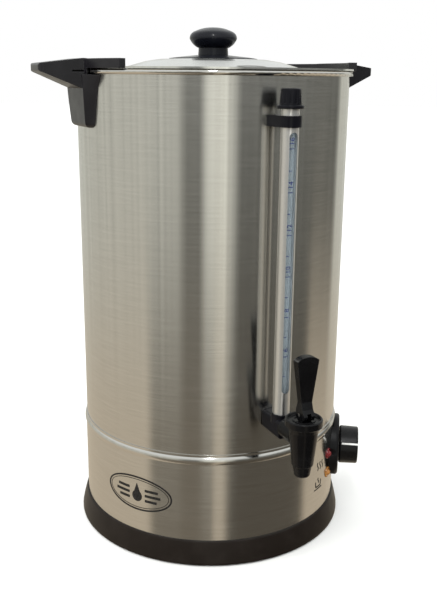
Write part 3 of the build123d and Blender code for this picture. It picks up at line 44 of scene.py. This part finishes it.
# ------------------------------------------------------------------ node helpers
class Finish:
    """Short calls for building one material's nodes around its Principled shader."""

    def __init__(self, name):
        self.material = bpy.data.materials.new(name)
        self.material.use_nodes = True
        self.tree = self.material.node_tree
        self.shader = self.tree.nodes["Principled BSDF"]
        self.here = self.node("ShaderNodeTexCoord").outputs["Object"]

    def node(self, kind, **settings):
        made = self.tree.nodes.new(kind)
        for key, value in settings.items():
            setattr(made, key, value)
        return made

    def join(self, source, socket):
        """Sets a socket to a number or colour, or links it to another node's output."""
        if isinstance(source, bpy.types.NodeSocket):
            self.tree.links.new(source, socket)
        else:
            socket.default_value = source

    def set(self, **values):
        """Sets constants on the shader; an underscore in a key stands for a space."""
        for key, value in values.items():
            self.shader.inputs[key.replace("_", " ")].default_value = value

    def drive(self, socket, source):
        self.tree.links.new(source, self.shader.inputs[socket])

    def math(self, operation, first, second=0.0, clamp=False):
        made = self.node("ShaderNodeMath", operation=operation, use_clamp=clamp)
        self.join(first, made.inputs[0])
        self.join(second, made.inputs[1])
        return made.outputs[0]

    def vector(self, operation, first, second=(0, 0, 0)):
        made = self.node("ShaderNodeVectorMath", operation=operation)
        self.join(first, made.inputs[0])
        self.join(second, made.inputs[1])
        return made.outputs[0]

    def split(self, source):
        made = self.node("ShaderNodeSeparateXYZ")
        self.join(source, made.inputs[0])
        return made.outputs

    def pack(self, x, y, z):
        made = self.node("ShaderNodeCombineXYZ")
        for source, socket in zip((x, y, z), made.inputs):
            self.join(source, socket)
        return made.outputs[0]

    def noise(self, where, scale, detail=3.0, rough=0.5):
        made = self.node("ShaderNodeTexNoise")
        self.join(where, made.inputs["Vector"])
        self.join(scale, made.inputs["Scale"])
        self.join(detail, made.inputs["Detail"])
        self.join(rough, made.inputs["Roughness"])
        return made.outputs["Fac"]

    def span(self, source, low, high, to_low=0.0, to_high=1.0, smooth=False):
        made = self.node("ShaderNodeMapRange", clamp=True)
        if smooth:
            made.interpolation_type = "SMOOTHSTEP"
        self.join(source, made.inputs["Value"])
        self.join(low, made.inputs["From Min"])
        self.join(high, made.inputs["From Max"])
        self.join(to_low, made.inputs["To Min"])
        self.join(to_high, made.inputs["To Max"])
        return made.outputs["Result"]

    def mix(self, factor, first, second):
        made = self.node("ShaderNodeMix", data_type="RGBA")
        self.join(factor, made.inputs["Factor"])
        self.join(first, made.inputs[6])
        self.join(second, made.inputs[7])
        return made.outputs[2]

    def bump(self, height, distance, strength=1.0, normal=None):
        made = self.node("ShaderNodeBump")
        self.join(height, made.inputs["Height"])
        made.inputs["Distance"].default_value = distance
        made.inputs["Strength"].default_value = strength
        if normal is not None:
            self.join(normal, made.inputs["Normal"])
        return made.outputs["Normal"]

    def soft_edges(self, radius):
        made = self.node("ShaderNodeBevel", samples=4)
        made.inputs["Radius"].default_value = radius
        return made.outputs["Normal"]

    def edge_mask(self, radius):
        """Near 1 along the edges of a piece, 0 on its faces."""
        rounded = self.soft_edges(radius)
        flat = self.node("ShaderNodeNewGeometry").outputs["Normal"]
        made = self.node("ShaderNodeVectorMath", operation="DOT_PRODUCT")
        self.join(rounded, made.inputs[0])
        self.join(flat, made.inputs[1])
        return self.span(made.outputs["Value"], 0.99, 0.86)


def rgba(red, green, blue):
    return (red, green, blue, 1.0)


# ------------------------------------------------------------------ finishes
def spun_steel(name, colour, centre=(0.0, 0.0), rough=0.2, grain=1.0, bright_bands=(), weld=False):
    """Stainless sheet brushed round an upright axis, with faint handling marks."""
    f = Finish(name)
    x, y, z = f.split(f.vector("SUBTRACT", f.here, (centre[0], centre[1], 0)))
    across = f.pack(x, y, 0.0)
    radius = f.node("ShaderNodeVectorMath", operation="LENGTH")
    f.join(across, radius.inputs[0])
    heading = f.vector("NORMALIZE", across)
    level = f.math("ADD", radius.outputs["Value"], z)
    hx, hy, _ = f.split(heading)
    fine = f.noise(f.pack(f.math("MULTIPLY", hx, 5.0), f.math("MULTIPLY", hy, 5.0),
                          f.math("MULTIPLY", level, 1900.0)), 1.0, 2.0, 0.6)
    coarse = f.noise(f.pack(f.math("MULTIPLY", hx, 2.2), f.math("MULTIPLY", hy, 2.2),
                            f.math("MULTIPLY", level, 420.0)), 1.0, 4.0, 0.65)
    smudge = f.noise(f.here, 11.0, 5.0, 0.62)
    handled = f.span(smudge, 0.50, 0.72, smooth=True)
    streak = f.math("ADD", f.math("MULTIPLY", fine, 0.55), f.math("MULTIPLY", coarse, 0.45))
    dark = tuple(c * 0.93 for c in colour) + (1.0,)
    light = tuple(min(1.0, c * 1.06) for c in colour) + (1.0,)
    f.drive("Base Color", f.mix(f.span(streak, 0.30, 0.70), dark, light))
    roughness = f.math("ADD", f.span(streak, 0.3, 0.7, rough - 0.02, rough + 0.025),
                       f.math("MULTIPLY", handled, 0.035))
    for low, high in bright_bands:
        middle = (low + high) / 2
        away = f.math("ABSOLUTE", f.math("SUBTRACT", z, middle))
        polished = f.span(away, (high - low) / 2, (high - low) / 2 - 0.0006)
        roughness = f.math("SUBTRACT", roughness, f.math("MULTIPLY", polished, rough * 0.45), clamp=True)
    height = f.math("MULTIPLY", streak, grain)
    if weld:
        beside = f.math("ABSOLUTE", x)
        behind = f.math("GREATER_THAN", y, 0.0)
        ripple = f.noise(f.pack(x, 0.0, f.math("MULTIPLY", z, 900.0)), 1.0, 1.0)
        bead = f.math("MULTIPLY", f.span(beside, 0.0016, 0.0008), behind)
        height = f.math("ADD", height, f.math("MULTIPLY", bead, f.math("ADD", 4.0, ripple)))
    f.drive("Roughness", roughness)
    f.drive("Normal", f.bump(height, 0.00001, 0.2))
    tangent = f.node("ShaderNodeTangent", direction_type="RADIAL", axis="Z")
    f.drive("Tangent", tangent.outputs[0])
    f.set(Metallic=1.0, Anisotropic=0.88, Anisotropic_Rotation=0.25)
    return f.material


def moulded(name, colour, rough=0.42, texture=1.0, wear_and_edge_highlight=0.5, edge=0.0005, coat=0.0, gloss=0.16):
    """Moulded plastic with a spark-eroded grain, paler edges that are partly wear and partly a painted
    highlight, and a little dust.
    """
    f = Finish(name)
    grain = f.noise(f.here, 2600.0, 2.0, 0.5)
    blotch = f.noise(f.here, 60.0, 4.0, 0.6)
    dust = f.noise(f.here, 420.0, 3.0, 0.7)
    base = tuple(colour) + (1.0,)
    paler = tuple(min(1.0, c * 1.3 + 0.002) for c in colour) + (1.0,)
    # Paler colour for the edges, laid on by the edge mask below: partly wear, partly a painted highlight
    # along the edges.
    wear_and_highlight_colour = tuple(min(1.0, c * 1.5 + 0.02) for c in colour) + (1.0,)
    faded = f.mix(f.span(blotch, 0.45, 0.75), base, paler)
    edges = f.math("MULTIPLY", f.edge_mask(edge * 1.6), f.span(blotch, 0.35, 0.6, 0.2, wear_and_edge_highlight))
    f.drive("Base Color", f.mix(edges, faded, wear_and_highlight_colour))
    shine = f.span(blotch, 0.3, 0.7, rough - 0.05, rough + 0.06)
    f.drive("Roughness", f.math("ADD", shine, f.span(dust, 0.62, 0.78, 0.0, 0.08)))
    f.drive("Normal", f.bump(grain, 0.00004, 0.22 * texture, f.soft_edges(edge)))
    f.set(Specular_IOR_Level=gloss, Coat_Weight=coat, Coat_Roughness=0.05)
    return f.material


def machined(name, colour, rough=0.3, metallic=1.0, tarnish=(0.5, 0.5, 0.5), amount=0.15):
    """Turned, drawn or plated metal in small fittings."""
    f = Finish(name)
    x, y, z = f.split(f.here)
    lines = f.noise(f.pack(f.math("MULTIPLY", x, 300.0), f.math("MULTIPLY", y, 300.0),
                           f.math("MULTIPLY", z, 1800.0)), 1.0, 2.0, 0.6)
    patches = f.noise(f.here, 130.0, 5.0, 0.65)
    base = tuple(colour) + (1.0,)
    aged = tuple(tarnish) + (1.0,)
    f.drive("Base Color", f.mix(f.span(patches, 0.4, 0.75, 0.0, amount), base, aged))
    f.drive("Roughness", f.math("ADD", f.span(lines, 0.3, 0.7, rough - 0.06, rough + 0.06),
                                f.span(patches, 0.5, 0.8, 0.0, 0.12)))
    f.drive("Normal", f.bump(lines, 0.00002, 0.3, f.soft_edges(0.0002)))
    f.set(Metallic=metallic)
    return f.material


def soft_rubber(name, colour, rough=0.75):
    f = Finish(name)
    pores = f.noise(f.here, 1500.0, 3.0, 0.6)
    bloom = f.noise(f.here, 90.0, 4.0, 0.6)
    base = tuple(colour) + (1.0,)
    chalky = tuple(min(1.0, c * 1.4 + 0.02) for c in colour) + (1.0,)
    f.drive("Base Color", f.mix(f.span(bloom, 0.4, 0.8), base, chalky))
    f.drive("Roughness", f.span(bloom, 0.3, 0.7, rough - 0.08, rough + 0.06))
    f.drive("Normal", f.bump(pores, 0.00005, 0.35, f.soft_edges(0.0003)))
    f.set(Specular_IOR_Level=0.35)
    return f.material


def clear_glass(name, tint):
    """Thin clear glass: more of it shows towards the edges of the tube."""
    f = Finish(name)
    smear = f.noise(f.vector("MULTIPLY", f.here, (90.0, 90.0, 12.0)), 1.0, 3.0, 0.6)
    f.drive("Roughness", f.span(smear, 0.45, 0.75, 0.12, 0.2))
    rim = f.node("ShaderNodeLayerWeight")
    rim.inputs["Blend"].default_value = 0.35
    f.drive("Alpha", f.span(rim.outputs["Facing"], 0.0, 1.0, 0.06, 0.6))
    f.set(Base_Color=tuple(tint) + (1.0,), IOR=1.47)
    return f.material


def lamp_lens(name, colour):
    """Tinted clear plastic over a lamp, darker towards its rim."""
    f = Finish(name)
    haze = f.noise(f.here, 160.0, 2.0, 0.5)
    rim = f.node("ShaderNodeLayerWeight")
    rim.inputs["Blend"].default_value = 0.4
    deep = tuple(c * 0.45 for c in colour) + (1.0,)
    f.drive("Base Color", f.mix(rim.outputs["Facing"], tuple(colour) + (1.0,), deep))
    f.drive("Roughness", f.span(haze, 0.3, 0.7, 0.12, 0.2))
    f.drive("Normal", f.soft_edges(0.0004))
    f.set(Coat_Weight=0.3, Coat_Roughness=0.05)
    return f.material


def print_ink(name, colour, rough=0.5):
    """Screen-printed ink, a little thin in places."""
    f = Finish(name)
    thin = f.noise(f.here, 900.0, 3.0, 0.6)
    base = tuple(colour) + (1.0,)
    weak = tuple(min(1.0, c * 1.3 + 0.02) for c in colour) + (1.0,)
    f.drive("Base Color", f.mix(f.span(thin, 0.45, 0.75), base, weak))
    f.drive("Roughness", f.span(thin, 0.3, 0.7, rough - 0.05, rough + 0.08))
    f.set(Specular_IOR_Level=0.15)
    return f.material


GAUGE_AT = (0.0, -0.155)
TAP_AT = (0.0, -0.1956)
STEEL = (0.66, 0.65, 0.62)

FINISHES = {
    "stainless": spun_steel("stainless", STEEL, rough=0.17, bright_bands=((0.4568, 0.4625),), weld=True),
    "stainless_casing": spun_steel("stainless_casing", STEEL, rough=0.18, weld=True),
    # The lid's steel is set lighter than the body's steel: painted light on the upward-facing lid.
    "lid_steel": spun_steel("lid_steel", (0.78, 0.78, 0.76), rough=0.16),
    "gauge_steel": spun_steel("gauge_steel", (0.74, 0.73, 0.71), centre=GAUGE_AT, rough=0.36, grain=0.8),
    "galvanised": machined("galvanised", (0.56, 0.57, 0.58), 0.4, 1.0, (0.42, 0.43, 0.44), 0.5),
    "screw_steel": machined("screw_steel", (0.62, 0.61, 0.60), 0.3, 1.0, (0.4, 0.38, 0.35), 0.3),
    "base_plastic": moulded("base_plastic", (0.010, 0.0068, 0.005), 0.38, 1.2, 0.5),
    "handle_plastic": moulded("handle_plastic", (0.0045, 0.004, 0.006), 0.34, 1.0, 0.5, 0.0009, gloss=0.42),
    "gauge_plastic": moulded("gauge_plastic", (0.0025, 0.0025, 0.0045), 0.3, 0.6, 0.4, 0.0005, 0.05),
    "tap_plastic": moulded("tap_plastic", (0.002, 0.002, 0.0025), 0.24, 0.5, 0.4, 0.0006, 0.12),
    "knob_plastic": moulded("knob_plastic", (0.003, 0.003, 0.0035), 0.24, 0.6, 0.5, 0.0006, 0.2),
    "knob_black": moulded("knob_black", (0.0045, 0.0052, 0.0085), 0.3, 0.4, 0.3, 0.0008, 0.25),
    "bezel_plastic": moulded("bezel_plastic", (0.0045, 0.0045, 0.005), 0.36, 0.9, 0.5),
    "pointer_white": moulded("pointer_white", (0.80, 0.80, 0.77), 0.4, 0.4, 0.0),
    "lamp_red": lamp_lens("lamp_red", (0.17, 0.010, 0.014)),
    "lamp_amber": lamp_lens("lamp_amber", (0.38, 0.16, 0.035)),
    "phenolic": moulded("phenolic", (0.016, 0.014, 0.013), 0.4, 1.0, 0.3),
    "thermostat_case": moulded("thermostat_case", (0.58, 0.54, 0.46), 0.55, 1.0, 0.2),
    "foot_rubber": soft_rubber("foot_rubber", (0.015, 0.015, 0.015)),
    "seal_rubber": soft_rubber("seal_rubber", (0.02, 0.02, 0.02)),
    "seal_silicone": soft_rubber("seal_silicone", (0.62, 0.58, 0.50), 0.6),
    "backing_white": moulded("backing_white", (0.50, 0.56, 0.60), 0.6, 0.2, 0.0),
    "gauge_glass": clear_glass("gauge_glass", (0.55, 0.64, 0.70)),
    "heat_aluminium": machined("heat_aluminium", (0.66, 0.66, 0.67), 0.45, 1.0, (0.5, 0.47, 0.42), 0.4),
    "shaft_aluminium": machined("shaft_aluminium", (0.70, 0.70, 0.71), 0.3),
    "element_sheath": machined("element_sheath", (0.26, 0.23, 0.21), 0.5, 1.0, (0.12, 0.09, 0.10), 0.7),
    "copper_bulb": machined("copper_bulb", (0.66, 0.32, 0.18), 0.35, 1.0, (0.3, 0.15, 0.09), 0.5),
    "pin_brass": machined("pin_brass", (0.70, 0.56, 0.28), 0.28, 1.0, (0.4, 0.3, 0.15), 0.35),
    "wire_brown": moulded("wire_brown", (0.10, 0.04, 0.015), 0.45, 0.5, 0.1),
    "wire_blue": moulded("wire_blue", (0.01, 0.04, 0.26), 0.45, 0.5, 0.1),
    "wire_green": moulded("wire_green", (0.09, 0.26, 0.02), 0.45, 0.5, 0.1),
}

for part in RECORD["subparts"]:
    node = frame["nodes"][part["node"]]
    for slot in node.material_slots:
        slot.material = FINISHES[part["material_slot"]]

INK_BLUE = print_ink("ink_blue", (0.016, 0.022, 0.12), 0.5)
INK_DARK = print_ink("ink_dark", (0.010, 0.009, 0.008))
INK_WHITE = print_ink("ink_white", (0.72, 0.72, 0.70))


# ------------------------------------------------------------------ printed marks
def sheet_mesh(shapes):
    """Flat mesh from outlines, each a list of (x, y) in metres."""
    bm = bmesh.new()
    for outline in shapes:
        verts = [bm.verts.new((x, y, 0.0)) for x, y in outline]
        bm.faces.new(verts)
    return bm


def text_mesh(text, size):
    """Flat mesh of a number, centred on its own middle."""
    curve = bpy.data.curves.new("figure", "FONT")
    curve.body = text
    curve.size = size
    curve.align_x = "CENTER"
    curve.align_y = "CENTER"
    curve.resolution_u = 6
    holder = bpy.data.objects.new("figure", curve)
    bpy.context.scene.collection.objects.link(holder)
    mesh = bpy.data.meshes.new_from_object(holder.evaluated_get(bpy.context.evaluated_depsgraph_get()))
    bpy.data.objects.remove(holder)
    bm = bmesh.new()
    bm.from_mesh(mesh)
    bpy.data.meshes.remove(mesh)
    bmesh.ops.dissolve_limit(bm, angle_limit=0.01, verts=bm.verts, edges=bm.edges)
    return bm


def cut_strips(bm, step):
    """Divides a flat mesh by upright lines, so that it can be bent."""
    xs = [v.co.x for v in bm.verts]
    count = int((max(xs) - min(xs)) / step) + 1
    for i in range(1, count):
        at = min(xs) + i * step
        geometry = bm.verts[:] + bm.edges[:] + bm.faces[:]
        bmesh.ops.bisect_plane(bm, geom=geometry, plane_co=(at, 0, 0), plane_no=(1, 0, 0))


def wrap_mark(bm, name, ink, body, radius, azimuth, z, centre=(0.0, 0.0)):
    """Lays a flat mesh on an upright cylinder as a printed mark and makes it ride a body."""
    facing = math.radians(azimuth)
    for v in bm.verts:
        angle = facing + v.co.x / radius
        x = centre[0] + radius * math.cos(angle)
        y = centre[1] + radius * math.sin(angle)
        v.co = Vector((x, y, z + v.co.y))
    bmesh.ops.recalc_face_normals(bm, faces=bm.faces)
    mesh = bpy.data.meshes.new(name)
    bm.to_mesh(mesh)
    bm.free()
    mesh.materials.append(ink)
    made = bpy.data.objects.new(name, mesh)
    bpy.context.scene.collection.objects.link(made)
    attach(made, body)
    return made


def add_mesh(bm, other, place):
    """Copies one bmesh into another through a matrix."""
    mesh = bpy.data.meshes.new("part")
    other.to_mesh(mesh)
    other.free()
    mesh.transform(place)
    bm.from_mesh(mesh)
    bpy.data.meshes.remove(mesh)


def rectangle(x, y, width, height):
    return [(x - width / 2, y - height / 2), (x + width / 2, y - height / 2),
            (x + width / 2, y + height / 2), (x - width / 2, y + height / 2)]


# Scale on the gauge glass: long lines at each even litre, short lines between
GLASS_FACE = 0.00508
LITRE = 0.01827
FLOOR_TOP = 0.1062
SHORT_LINE, LONG_LINE, LINE_THICK = 0.0030, 0.0056, 0.0006
FIGURE_ABOVE = 0.0062
scale_lines = []
scale = bmesh.new()
for level in range(5, 17):
    width = SHORT_LINE if level % 2 else LONG_LINE
    scale_lines.append(rectangle((width - LONG_LINE) / 2, level * LITRE, width, LINE_THICK))
add_mesh(scale, sheet_mesh(scale_lines), Matrix.Identity(4))
for litres in range(6, 17, 2):
    figure = text_mesh(str(litres), 0.0068)
    upright = Matrix.Rotation(math.radians(90), 4, "Z")
    place = Matrix.Translation((0.0002, litres * LITRE + FIGURE_ABOVE, 0)) @ upright
    add_mesh(scale, figure, place)
cut_strips(scale, 0.0005)
wrap_mark(scale, "gauge_scale", INK_BLUE, "kettle", GLASS_FACE, -90, FLOOR_TOP, GAUGE_AT)


def ellipse_ring(half_width, half_height, line, count=72):
    """Closed line along an ellipse, as a ring of small four-sided outlines."""
    shapes = []
    for i in range(count):
        a, b = (2 * math.pi * k / count for k in (i, i + 1))
        outer = [(half_width * math.cos(t), half_height * math.sin(t)) for t in (a, b)]
        inner = [((half_width - line) * math.cos(t), (half_height - line) * math.sin(t)) for t in (b, a)]
        shapes.append(outer + inner)
    return shapes


def stroke(points, line):
    """A line of constant width through the points, as four-sided outlines."""
    shapes = []
    for (x0, y0), (x1, y1) in zip(points, points[1:]):
        length = math.hypot(x1 - x0, y1 - y0)
        sx, sy = (y1 - y0) / length * line / 2, -(x1 - x0) / length * line / 2
        shapes.append([(x0 - sx, y0 - sy), (x0 + sx, y0 + sy), (x1 + sx, y1 + sy), (x1 - sx, y1 - sy)])
    return shapes


def wave(x, y, height, swing, line, steps=12):
    """An upright wavy line, as used for rising heat."""
    points = []
    for i in range(steps + 1):
        points.append((x + swing * math.sin(2 * math.pi * i / steps), y + height * i / steps))
    return stroke(points, line)


def drop(x, y, radius, tall, steps=20):
    """A liquid drop: a round foot drawn up to a point."""
    outline = []
    for i in range(steps + 1):
        a = math.radians(-235 + 290 * i / steps)
        outline.append((x + radius * math.cos(a), y + radius * math.sin(a)))
    return outline + [(x, y + tall)]


# Generic badge: a drop between bars inside a double oval
SKIRT_FACE = 0.13415
BADGE_AZ, BADGE_Z = -146.5, 0.0640
BARS_FROM, BAR_HEIGHT = 0.0092, 0.0026
badge = ellipse_ring(0.0385, 0.0180, 0.0017) + ellipse_ring(0.0352, 0.0150, 0.0006)
badge.append(drop(0.0, -0.0028, 0.0058, 0.0138))
for side in (-1, 1):
    for row, width in ((-0.0062, 0.0130), (-0.0008, 0.0170), (0.0046, 0.0145)):
        badge.append(rectangle(side * (BARS_FROM + width / 2), row, width, BAR_HEIGHT))
badge_mesh = sheet_mesh(badge)
cut_strips(badge_mesh, 0.003)
wrap_mark(badge_mesh, "generic_badge", INK_DARK, "kettle", SKIRT_FACE, BADGE_AZ, BADGE_Z)

# Beside the lamps: rising heat, and a warm cup on its saucer
HEAT_AZ, HEAT_Z = -57.6, 0.0705
CUP_AZ, CUP_Z = -58.8, 0.0525
symbols = []
for x in (-0.0050, 0.0, 0.0050):
    symbols += wave(x, 0.0, 0.0088, 0.0011, 0.0013)
heat_symbol = sheet_mesh(symbols)
cut_strips(heat_symbol, 0.002)
wrap_mark(heat_symbol, "heating_symbol", INK_DARK, "kettle", SKIRT_FACE, HEAT_AZ, HEAT_Z)
cup = stroke([(-0.0056, 0.0060), (-0.0048, 0.0), (0.0048, 0.0), (0.0056, 0.0060)], 0.0013)
cup += stroke([(-0.0078, -0.0026), (0.0078, -0.0026)], 0.0011) + wave(0.0, 0.0036, 0.0056, 0.0010, 0.0012)
cup_symbol = sheet_mesh(cup)
cut_strips(cup_symbol, 0.002)
wrap_mark(cup_symbol, "warming_symbol", INK_DARK, "kettle", SKIRT_FACE, CUP_AZ, CUP_Z)

# Dial round the control knob: a figure at each fifth of its turn and short lines between
KNOB_AZ = math.radians(-33)
DIAL_FACE, DIAL_Z = 0.14012, 0.0745
DIAL_CENTRE = Vector((DIAL_FACE * math.cos(KNOB_AZ), DIAL_FACE * math.sin(KNOB_AZ), DIAL_Z))
DIAL_RIGHT = Vector((-math.sin(KNOB_AZ), math.cos(KNOB_AZ), 0.0))
OFF_AT = 155.0
SWEEP = 270.0
TICKS = 20
TICK_FROM, TICK_TO, LONG_TICK_TO, TICK_THICK = 0.0215, 0.0230, 0.0242, 0.0006
FIGURES_AT, FIGURE_SIZE = 0.0268, 0.0042
dial = bmesh.new()
ticks = []
for step in range(TICKS + 1):
    angle = math.radians(OFF_AT - SWEEP * step / TICKS)
    reach = LONG_TICK_TO if step % 4 == 0 else TICK_TO
    ticks += stroke([(TICK_FROM * math.cos(angle), TICK_FROM * math.sin(angle)),
                     (reach * math.cos(angle), reach * math.sin(angle))], TICK_THICK)
add_mesh(dial, sheet_mesh(ticks), Matrix.Identity(4))
for step, figure in enumerate(("0", "30", "50", "70", "90", "110")):
    angle = math.radians(OFF_AT - SWEEP * step / 5)
    place = Matrix.Translation((FIGURES_AT * math.cos(angle), FIGURES_AT * math.sin(angle), 0))
    add_mesh(dial, text_mesh(figure, FIGURE_SIZE), place)
for v in dial.verts:
    v.co = DIAL_CENTRE + DIAL_RIGHT * v.co.x + Vector((0, 0, 1)) * v.co.y
dial_mesh = bpy.data.meshes.new("dial_print")
dial.to_mesh(dial_mesh)
dial.free()
dial_mesh.materials.append(INK_WHITE)
dial_print = bpy.data.objects.new("dial_print", dial_mesh)
bpy.context.scene.collection.objects.link(dial_print)
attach(dial_print, "kettle")

# ------------------------------------------------------------------ camera
# The azimuth is in degrees, the small turns are in radians, the lens and its sensor are in millimetres
CAMERA_AZ = -114.5
CAMERA_R = 0.840
CAMERA_Z = 0.4548
TILT_DOWN = 0.263
PAN = 0.009
ROLL = -0.010
LENS = 49.42
SENSOR = 36.0


def camera_axes():
    """Right, up and backward directions of the camera in the row frame."""
    turn = Matrix.Rotation(math.radians(CAMERA_AZ + 90.0), 3, "Z")
    level = math.cos(TILT_DOWN)
    forward = Vector((math.sin(PAN) * level, math.cos(PAN) * level, -math.sin(TILT_DOWN)))
    right = Vector((math.cos(PAN), -math.sin(PAN), 0.0))
    up = right.cross(forward)
    rolled_right = right * math.cos(ROLL) - up * math.sin(ROLL)
    rolled_up = up * math.cos(ROLL) + right * math.sin(ROLL)
    return turn @ rolled_right, turn @ rolled_up, turn @ -forward


camera_data = bpy.data.cameras.new("camera")
camera_data.lens = LENS
camera_data.sensor_width = SENSOR
camera_data.sensor_height = SENSOR
camera_data.sensor_fit = "AUTO"
camera_data.clip_start = 0.01
camera = bpy.data.objects.new("camera", camera_data)
bpy.context.scene.collection.objects.link(camera)
at = math.radians(CAMERA_AZ)
axes = Matrix(camera_axes()).transposed().to_4x4()
camera.matrix_world = Matrix.Translation((CAMERA_R * math.cos(at), CAMERA_R * math.sin(at), CAMERA_Z)) @ axes
bpy.context.scene.camera = camera

# ------------------------------------------------------------------ floor
FLOOR_RADIUS = 14.0
floor_mesh = bpy.data.meshes.new("floor")
bm = bmesh.new()
bmesh.ops.create_circle(bm, cap_ends=True, segments=96, radius=FLOOR_RADIUS)
bm.to_mesh(floor_mesh)
bm.free()
floor = bpy.data.objects.new("floor", floor_mesh)
bpy.context.scene.collection.objects.link(floor)
floor_finish = Finish("floor")
floor_finish.set(Base_Color=rgba(0.86, 0.86, 0.85), Roughness=0.85, Specular_IOR_Level=0.1)
floor_mesh.materials.append(floor_finish.material)
floor.visible_glossy = False


# ------------------------------------------------------------------ studio light
world = bpy.data.worlds.new("studio")
bpy.context.scene.world = world
world.use_nodes = True
tree = world.node_tree
tree.nodes.clear()


def world_math(operation, first, second=0.0):
    made = tree.nodes.new("ShaderNodeMath")
    made.operation = operation
    for source, socket in zip((first, second), made.inputs):
        if isinstance(source, bpy.types.NodeSocket):
            tree.links.new(source, socket)
        else:
            socket.default_value = source
    return made.outputs[0]


def world_mix(factor, first, second, blend="MIX"):
    made = tree.nodes.new("ShaderNodeMix")
    made.data_type = "RGBA"
    made.blend_type = blend
    for source, socket in zip((factor, first, second), (made.inputs[0], made.inputs[6], made.inputs[7])):
        if isinstance(source, bpy.types.NodeSocket):
            tree.links.new(source, socket)
        else:
            socket.default_value = source
    return made.outputs[2]


def world_span(source, low, high):
    made = tree.nodes.new("ShaderNodeMapRange")
    made.interpolation_type = "SMOOTHSTEP"
    tree.links.new(source, made.inputs["Value"])
    made.inputs["From Min"].default_value = low
    made.inputs["From Max"].default_value = high
    return made.outputs["Result"]


heading = tree.nodes.new("ShaderNodeTexCoord")
parts = tree.nodes.new("ShaderNodeSeparateXYZ")
tree.links.new(heading.outputs["Generated"], parts.inputs[0])
compass = world_math("ARCTAN2", parts.outputs[1], parts.outputs[0])


SOFT_EDGE = math.radians(5)


def surround(brightness, tint, panels):
    """Surroundings of one brightness with soft-edged panels: (azimuth, width in degrees, brightness)."""
    seen = rgba(*(brightness * channel for channel in tint))
    for azimuth, width, level in panels:
        away = world_math("ABSOLUTE", world_math("SUBTRACT", compass, math.radians(azimuth)))
        edge = math.radians(width / 2)
        inside = world_span(away, edge + SOFT_EDGE, edge - SOFT_EDGE)
        seen = world_mix(inside, seen, rgba(*(level * channel for channel in tint)))
    return seen


# Eye level: pale walls, a dark screen with a soft box beside it, and a wide dark screen further round
bare_walls = surround(0.6, (1.0, 1.0, 0.9), ((-130, 20, 0.2), (-110, 20, 0.9), (-40, 110, 0.15)))
# Lower down: a lit wooden table top, in shade at the front and left, with the soft box over it
table = surround(0.6, (1.0, 0.85, 0.65), ((-140, 60, 0.2), (-100, 20, 0.5), (-60, 80, 0.1)))

# Faint upright stripes break up the walls, as the folds of a curtain do
RIPPLE_SCALE, RIPPLE_SWING, RIPPLE_BASE = 130.0, 1.3, 0.37
ripple = tree.nodes.new("ShaderNodeTexNoise")
ripple.noise_dimensions = "1D"
tree.links.new(world_math("DIVIDE", compass, 2 * math.pi), ripple.inputs["W"])
ripple.inputs["Scale"].default_value = RIPPLE_SCALE
ripple.inputs["Detail"].default_value = 3.0
stripes = world_math("ADD", world_math("MULTIPLY", ripple.outputs["Fac"], RIPPLE_SWING), RIPPLE_BASE)
walls = world_mix(1.0, bare_walls, stripes, "MULTIPLY")
# Steepness at which the table begins and is full, and at which the ceiling does
TABLE_SPAN = (-0.10, -0.47)
CEILING_SPAN = (0.02, 0.3)
down = world_span(parts.outputs[2], *TABLE_SPAN)
up = world_span(parts.outputs[2], *CEILING_SPAN)
around = world_mix(down, walls, table)
CEILING = rgba(0.88, 0.90, 0.89)
seen = world_mix(up, around, CEILING)
BACKDROP = rgba(1.0, 1.0, 1.0)
path = tree.nodes.new("ShaderNodeLightPath")
colour = world_mix(path.outputs["Is Camera Ray"], seen, BACKDROP)
background = tree.nodes.new("ShaderNodeBackground")
tree.links.new(colour, background.inputs["Color"])
output = tree.nodes.new("ShaderNodeOutputWorld")
tree.links.new(background.outputs[0], output.inputs["Surface"])


def soft_light(name, place, target, size, power, colour=(1.0, 1.0, 1.0), glossy=True):
    data = bpy.data.lights.new(name, "AREA")
    data.shape = "RECTANGLE"
    data.size, data.size_y = size
    data.energy = power
    data.color = colour
    made = bpy.data.objects.new(name, data)
    bpy.context.scene.collection.objects.link(made)
    made.location = place
    aim = Vector(target) - Vector(place)
    made.rotation_euler = aim.to_track_quat("-Z", "Y").to_euler()
    made.visible_glossy = glossy
    made.visible_camera = False
    return made


soft_light("strip_above", (-0.5, -1.1, 1.5), (0, 0, 0.2), (0.14, 0.8), 5.0)
soft_light("key_left", (-1.9, 0.1, 1.0), (0, 0, 0.3), (1.0, 1.4), 16.0, (1.0, 0.99, 0.96), glossy=False)
dome = bpy.data.lights.new("dome", "SUN")
dome.energy = 1.9
dome.angle = math.radians(150)
dome_light = bpy.data.objects.new("dome", dome)
dome_light.visible_glossy = False
bpy.context.scene.collection.objects.link(dome_light)

bpy.context.scene.view_settings.view_transform = "Standard"
